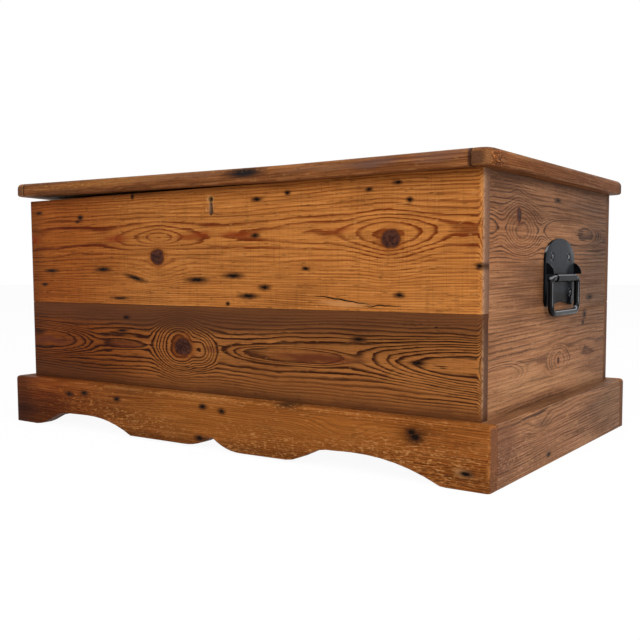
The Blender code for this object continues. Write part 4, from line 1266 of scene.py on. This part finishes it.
@dataclass
class Screws:
    """Slotted screws with worn heads, in place of the plain ones."""

    frame: dict
    slot_width: float = 0.0009
    slot_depth: float = 0.0009
    turns: int = 28
    thread_pitch: float = 0.0016
    shank_share: float = 0.48
    neck_share: float = 0.62
    root_share: float = 0.78
    tip: float = 0.00008
    rim: float = 0.00018
    dome_steps: int = 7
    sharp: float = math.radians(34)

    def profile(self, radius: float, length: float, dome: float) -> list[Span]:
        """Gives the screw's outline, from its tip up to the middle of its head.

        Args:
            radius: The head's radius.
            length: The whole length.
            dome: How far the head is domed.

        Returns:
            Pairs of radius and height; the head's top is at 0.
        """
        shank = radius * self.shank_share
        neck = -dome - radius * self.neck_share
        points = [(self.tip, -length), (shank * 0.8, -length + radius)]
        height = -length + radius + self.thread_pitch / 2
        while height < neck - self.thread_pitch:
            root = shank * self.root_share
            points += [(shank, height), (root, height + self.thread_pitch / 2)]
            height += self.thread_pitch
        points += [(shank, neck), (radius * 0.98, -dome - self.rim), (radius, -dome)]
        for step in range(1, self.dome_steps):
            angle = step / self.dome_steps * math.pi / 2
            points.append((radius * math.cos(angle), dome * math.sin(angle) - dome))
        return points

    def mesh(
        self, name: str, radius: float, length: float, dome: float, turn: float
    ) -> bpy.types.Mesh:
        """Builds one screw standing on +Z, with its slot turned.

        Args:
            name: The mesh's name.
            radius: The head's radius.
            length: The whole length.
            dome: How far the head is domed.
            turn: The slot's direction in radians.

        Returns:
            The mesh.
        """
        work, rings = bmesh.new(), []
        for out, height in self.profile(radius, length, dome):
            points = [(out * east, out * north, height) for east, north in circle(self.turns)]
            rings.append([work.verts.new(point) for point in points])
        skin(work, rings)
        work.faces.new(list(reversed(rings[0])))
        work.faces.new(rings[-1])
        bmesh.ops.recalc_face_normals(work, faces=work.faces)
        return self.slotted(emptied(work, name), radius, turn)

    def slotted(self, data: bpy.types.Mesh, radius: float, turn: float) -> bpy.types.Mesh:
        """Cuts the driver's slot across a screw's head.

        Args:
            data: The screw's mesh.
            radius: The head's radius.
            turn: The slot's direction in radians.

        Returns:
            The cut mesh.
        """
        work = bmesh.new()
        bmesh.ops.create_cube(work, size=1.0)
        sizes = (radius * 2.4, self.slot_width, self.slot_depth * 2)
        bmesh.ops.scale(work, vec=sizes, verts=work.verts)
        turned = Matrix.Rotation(turn, 3, "Z")
        bmesh.ops.rotate(work, cent=(0, 0, 0), matrix=turned, verts=work.verts)
        screw = placed("slot_work", data)
        cutter = placed("slot_cutter", emptied(work, "slot_cutter"))
        cut = screw.modifiers.new("slot", "BOOLEAN")
        cut.object = cutter
        cut.operation = "DIFFERENCE"
        bpy.context.view_layer.update()
        shown = screw.evaluated_get(bpy.context.evaluated_depsgraph_get())
        made = bpy.data.meshes.new_from_object(shown)
        for piece in (screw, cutter):
            bpy.data.objects.remove(piece)
        made.shade_smooth()
        made.set_sharp_from_angle(angle=self.sharp)
        return made

    def build(self) -> int:
        """Sets a slotted screw at each CAD screw's place and counts them."""
        SCREW.make()
        count = 0
        for kind in ScrewKind:
            for node in sorted(self.frame["nodes"]):
                if node.startswith(kind.family):
                    self.set_one(node, kind, 0.5 + 0.83 * count)
                    count += 1
        return count

    def set_one(self, node: str, kind: ScrewKind, turn: float) -> None:
        """Sets one screw where its node stands.

        Args:
            node: The CAD node.
            kind: The family that it belongs to.
            turn: The slot's direction.
        """
        low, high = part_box(node)
        middle, spans = (low + high) / 2, high - low
        axis = [abs(part) for part in kind.outward].index(1.0)
        radius = max(spans[other] for other in range(3) if other != axis) / 2
        top = middle + kind.outward * (spans[axis] / 2)
        data = self.mesh(f"slotted_{node}", radius, spans[axis], kind.dome, turn)
        data.materials.clear()
        data.materials.append(bpy.data.materials[kind.material])
        turned = kind.outward.to_track_quat("Z", "Y").to_matrix().to_4x4()
        data.transform(Matrix.Translation(top) @ turned)
        screw = placed(f"slotted_{node}", data)
        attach(screw, self.frame["nodes"][node]["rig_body"])
        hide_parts(node)


@dataclass
class Keyhole:
    """The brass lining of the keyhole and the lock's pin behind it."""

    across: float = -0.002
    up: float = 0.4075
    face: float = -0.2738
    depth: float = 0.010
    outer: float = 0.0053
    inner: float = 0.0038
    lip: float = 0.0004
    pin: float = 0.0012
    steps: int = 32
    sharp: float = math.radians(40)

    def rings(self, work: bmesh.types.BMesh, profile: tuple[Span, ...]) -> list[list]:
        """Adds a ring of points round the eye for each radius and depth."""
        made = []
        for radius, back in profile:
            ring = []
            for east, north in circle(self.steps):
                aside, above = self.across + radius * east, self.up + radius * north
                ring.append(work.verts.new((aside, self.face + back, above)))
            made.append(ring)
        return made

    def build(self) -> None:
        """Builds the lining and the pin, riding on the carcass."""
        outer, inner, lip, depth = self.outer, self.inner, self.lip, self.depth
        front = ((outer, lip), (outer - lip, 0.0), (inner + lip, 0.0), (inner, lip * 2))
        work = bmesh.new()
        rings = self.rings(work, (*front, (inner, depth), (outer, depth)))
        skin(work, [*rings, rings[0]])
        self.finish(work, "keyhole_lining", BRONZE.make())
        work = bmesh.new()
        rings = self.rings(work, ((self.pin * 0.6, 0.004), (self.pin, 0.0048), (self.pin, 0.0200)))
        skin(work, rings)
        for end in (rings[0], rings[-1]):
            work.faces.new(end)
        self.finish(work, "keyhole_pin", bpy.data.materials["old_steel"])

    def finish(self, work: bmesh.types.BMesh, name: str, material: bpy.types.Material) -> None:
        """Turns the work into a piece that rides on the carcass.

        Args:
            work: The mesh work, which is freed.
            name: The piece's name.
            material: Its material.
        """
        bmesh.ops.recalc_face_normals(work, faces=work.faces)
        data = emptied(work, name)
        data.shade_smooth()
        data.set_sharp_from_angle(angle=self.sharp)
        data.materials.append(material)
        piece = placed(name, data)
        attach(piece, "carcass")
        "old_brass" if "lining" in name else "old_steel"


@dataclass
class Studio:
    """The floor, lamps, white background and camera."""

    camera_place: Colour = (0.957, -1.313, 0.294)
    turn: float = 0.607
    tilt: float = -0.077
    roll: float = -0.004
    focal: float = 48.05
    shift: Span = (-0.0180, 0.0235)
    floor_size: float = 14.0
    floor_glow: float = 0.94
    sky: float = 0.55
    aim: Colour = (0.0, 0.0, 0.25)

    def camera(self) -> None:
        """Sets up the camera at the photograph's viewing angle."""
        lens = bpy.data.cameras.new("camera")
        lens.lens = self.focal
        lens.sensor_width = 36.0
        lens.shift_x, lens.shift_y = self.shift
        lens.clip_start, lens.clip_end = 0.05, 60.0
        camera = placed("camera", lens)
        level = math.cos(self.tilt)
        aside, forward = -math.sin(self.turn) * level, math.cos(self.turn) * level
        ahead = Vector((aside, forward, math.sin(self.tilt)))
        right = Vector((math.cos(self.turn), math.sin(self.turn), 0.0))
        up = right.cross(ahead)
        rolled = right * math.cos(self.roll) + up * math.sin(self.roll)
        upright = up * math.cos(self.roll) - right * math.sin(self.roll)
        axes = Matrix((rolled, upright, -ahead)).transposed()
        camera.matrix_world = Matrix.Translation(self.camera_place) @ axes.to_4x4()
        bpy.context.scene.camera = camera

    def floor(self) -> None:
        """Lays a pale floor that keeps the chest's shadow."""
        work = bmesh.new()
        bmesh.ops.create_grid(work, x_segments=8, y_segments=8, size=self.floor_size)
        floor = placed("floor", emptied(work, "floor"))
        bench = Bench(bpy.data.materials.new("pale_floor"))
        share = bench.plain_rays() * self.floor_glow
        matt = {"Color": painted(236, 236, 236), "Roughness": 1.0}
        ground = bench.node("ShaderNodeBsdfDiffuse", {}, matt)
        glow = bench.node("ShaderNodeEmission", {}, {"Color": WHITE, "Strength": 1.0})
        mixed = bench.node("ShaderNodeMixShader", {}, {0: share, 1: ground, 2: glow})
        bench.node("ShaderNodeOutputMaterial", {}, {"Surface": mixed})
        floor.data.materials.append(bench.holder)

    def world(self) -> None:
        """Lights the scene softly and shows white behind it."""
        bench = Bench(bpy.data.worlds.new("studio"))
        bpy.context.scene.world = bench.holder
        soft = bench.node("ShaderNodeBackground", {}, {"Color": WHITE, "Strength": self.sky})
        white = bench.node("ShaderNodeBackground", {}, {"Color": WHITE})
        mixed = bench.node("ShaderNodeMixShader", {}, {0: bench.plain_rays(), 1: soft, 2: white})
        bench.node("ShaderNodeOutputWorld", {}, {"Surface": mixed})

    def lamp(self, name: str, place: Colour, size: float, power: float) -> None:
        """Hangs one wide lamp that looks at the chest.

        Args:
            name: The lamp's name.
            place: Where it hangs.
            size: Its side in metres.
            power: Its power in watts.
        """
        light = bpy.data.lights.new(name, "AREA")
        light.size = size
        light.energy = power
        lamp = placed(name, light)
        lamp.location = place
        aim = Vector(self.aim) - Vector(place)
        lamp.rotation_mode = "QUATERNION"
        lamp.rotation_quaternion = aim.to_track_quat("-Z", "Y")

    def build(self) -> None:
        """Builds the whole studio."""
        self.camera()
        self.floor()
        self.world()
        self.lamp("window_lamp", (1.1, -2.6, 2.2), 2.2, 58.0)
        self.lamp("glint_lamp", (3.2, -0.9, 0.36), 0.22, 9.0)
        self.lamp("side_lamp", (3.0, -0.9, 1.7), 1.1, 18.0)
        self.lamp("top_lamp", (0.2, 0.6, 3.0), 2.6, 22.0)
        bpy.context.scene.view_settings.view_transform = "Standard"


def main() -> None:
    """Loads the frame and dresses it."""
    logging.basicConfig(level=logging.INFO, format="%(name)s: %(message)s")
    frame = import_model()
    softener = Softener()
    LOG.info("boards dressed: %d", Woodwork(frame, softener).dress())
    LOG.info("metal pieces dressed: %d", Metalwork(frame, softener).dress())
    LOG.info("slotted screws set: %d", Screws(frame).build())
    Keyhole().build()
    LOG.info("keyhole lined")
    Studio().build()


if __name__ == "__main__":
    main()
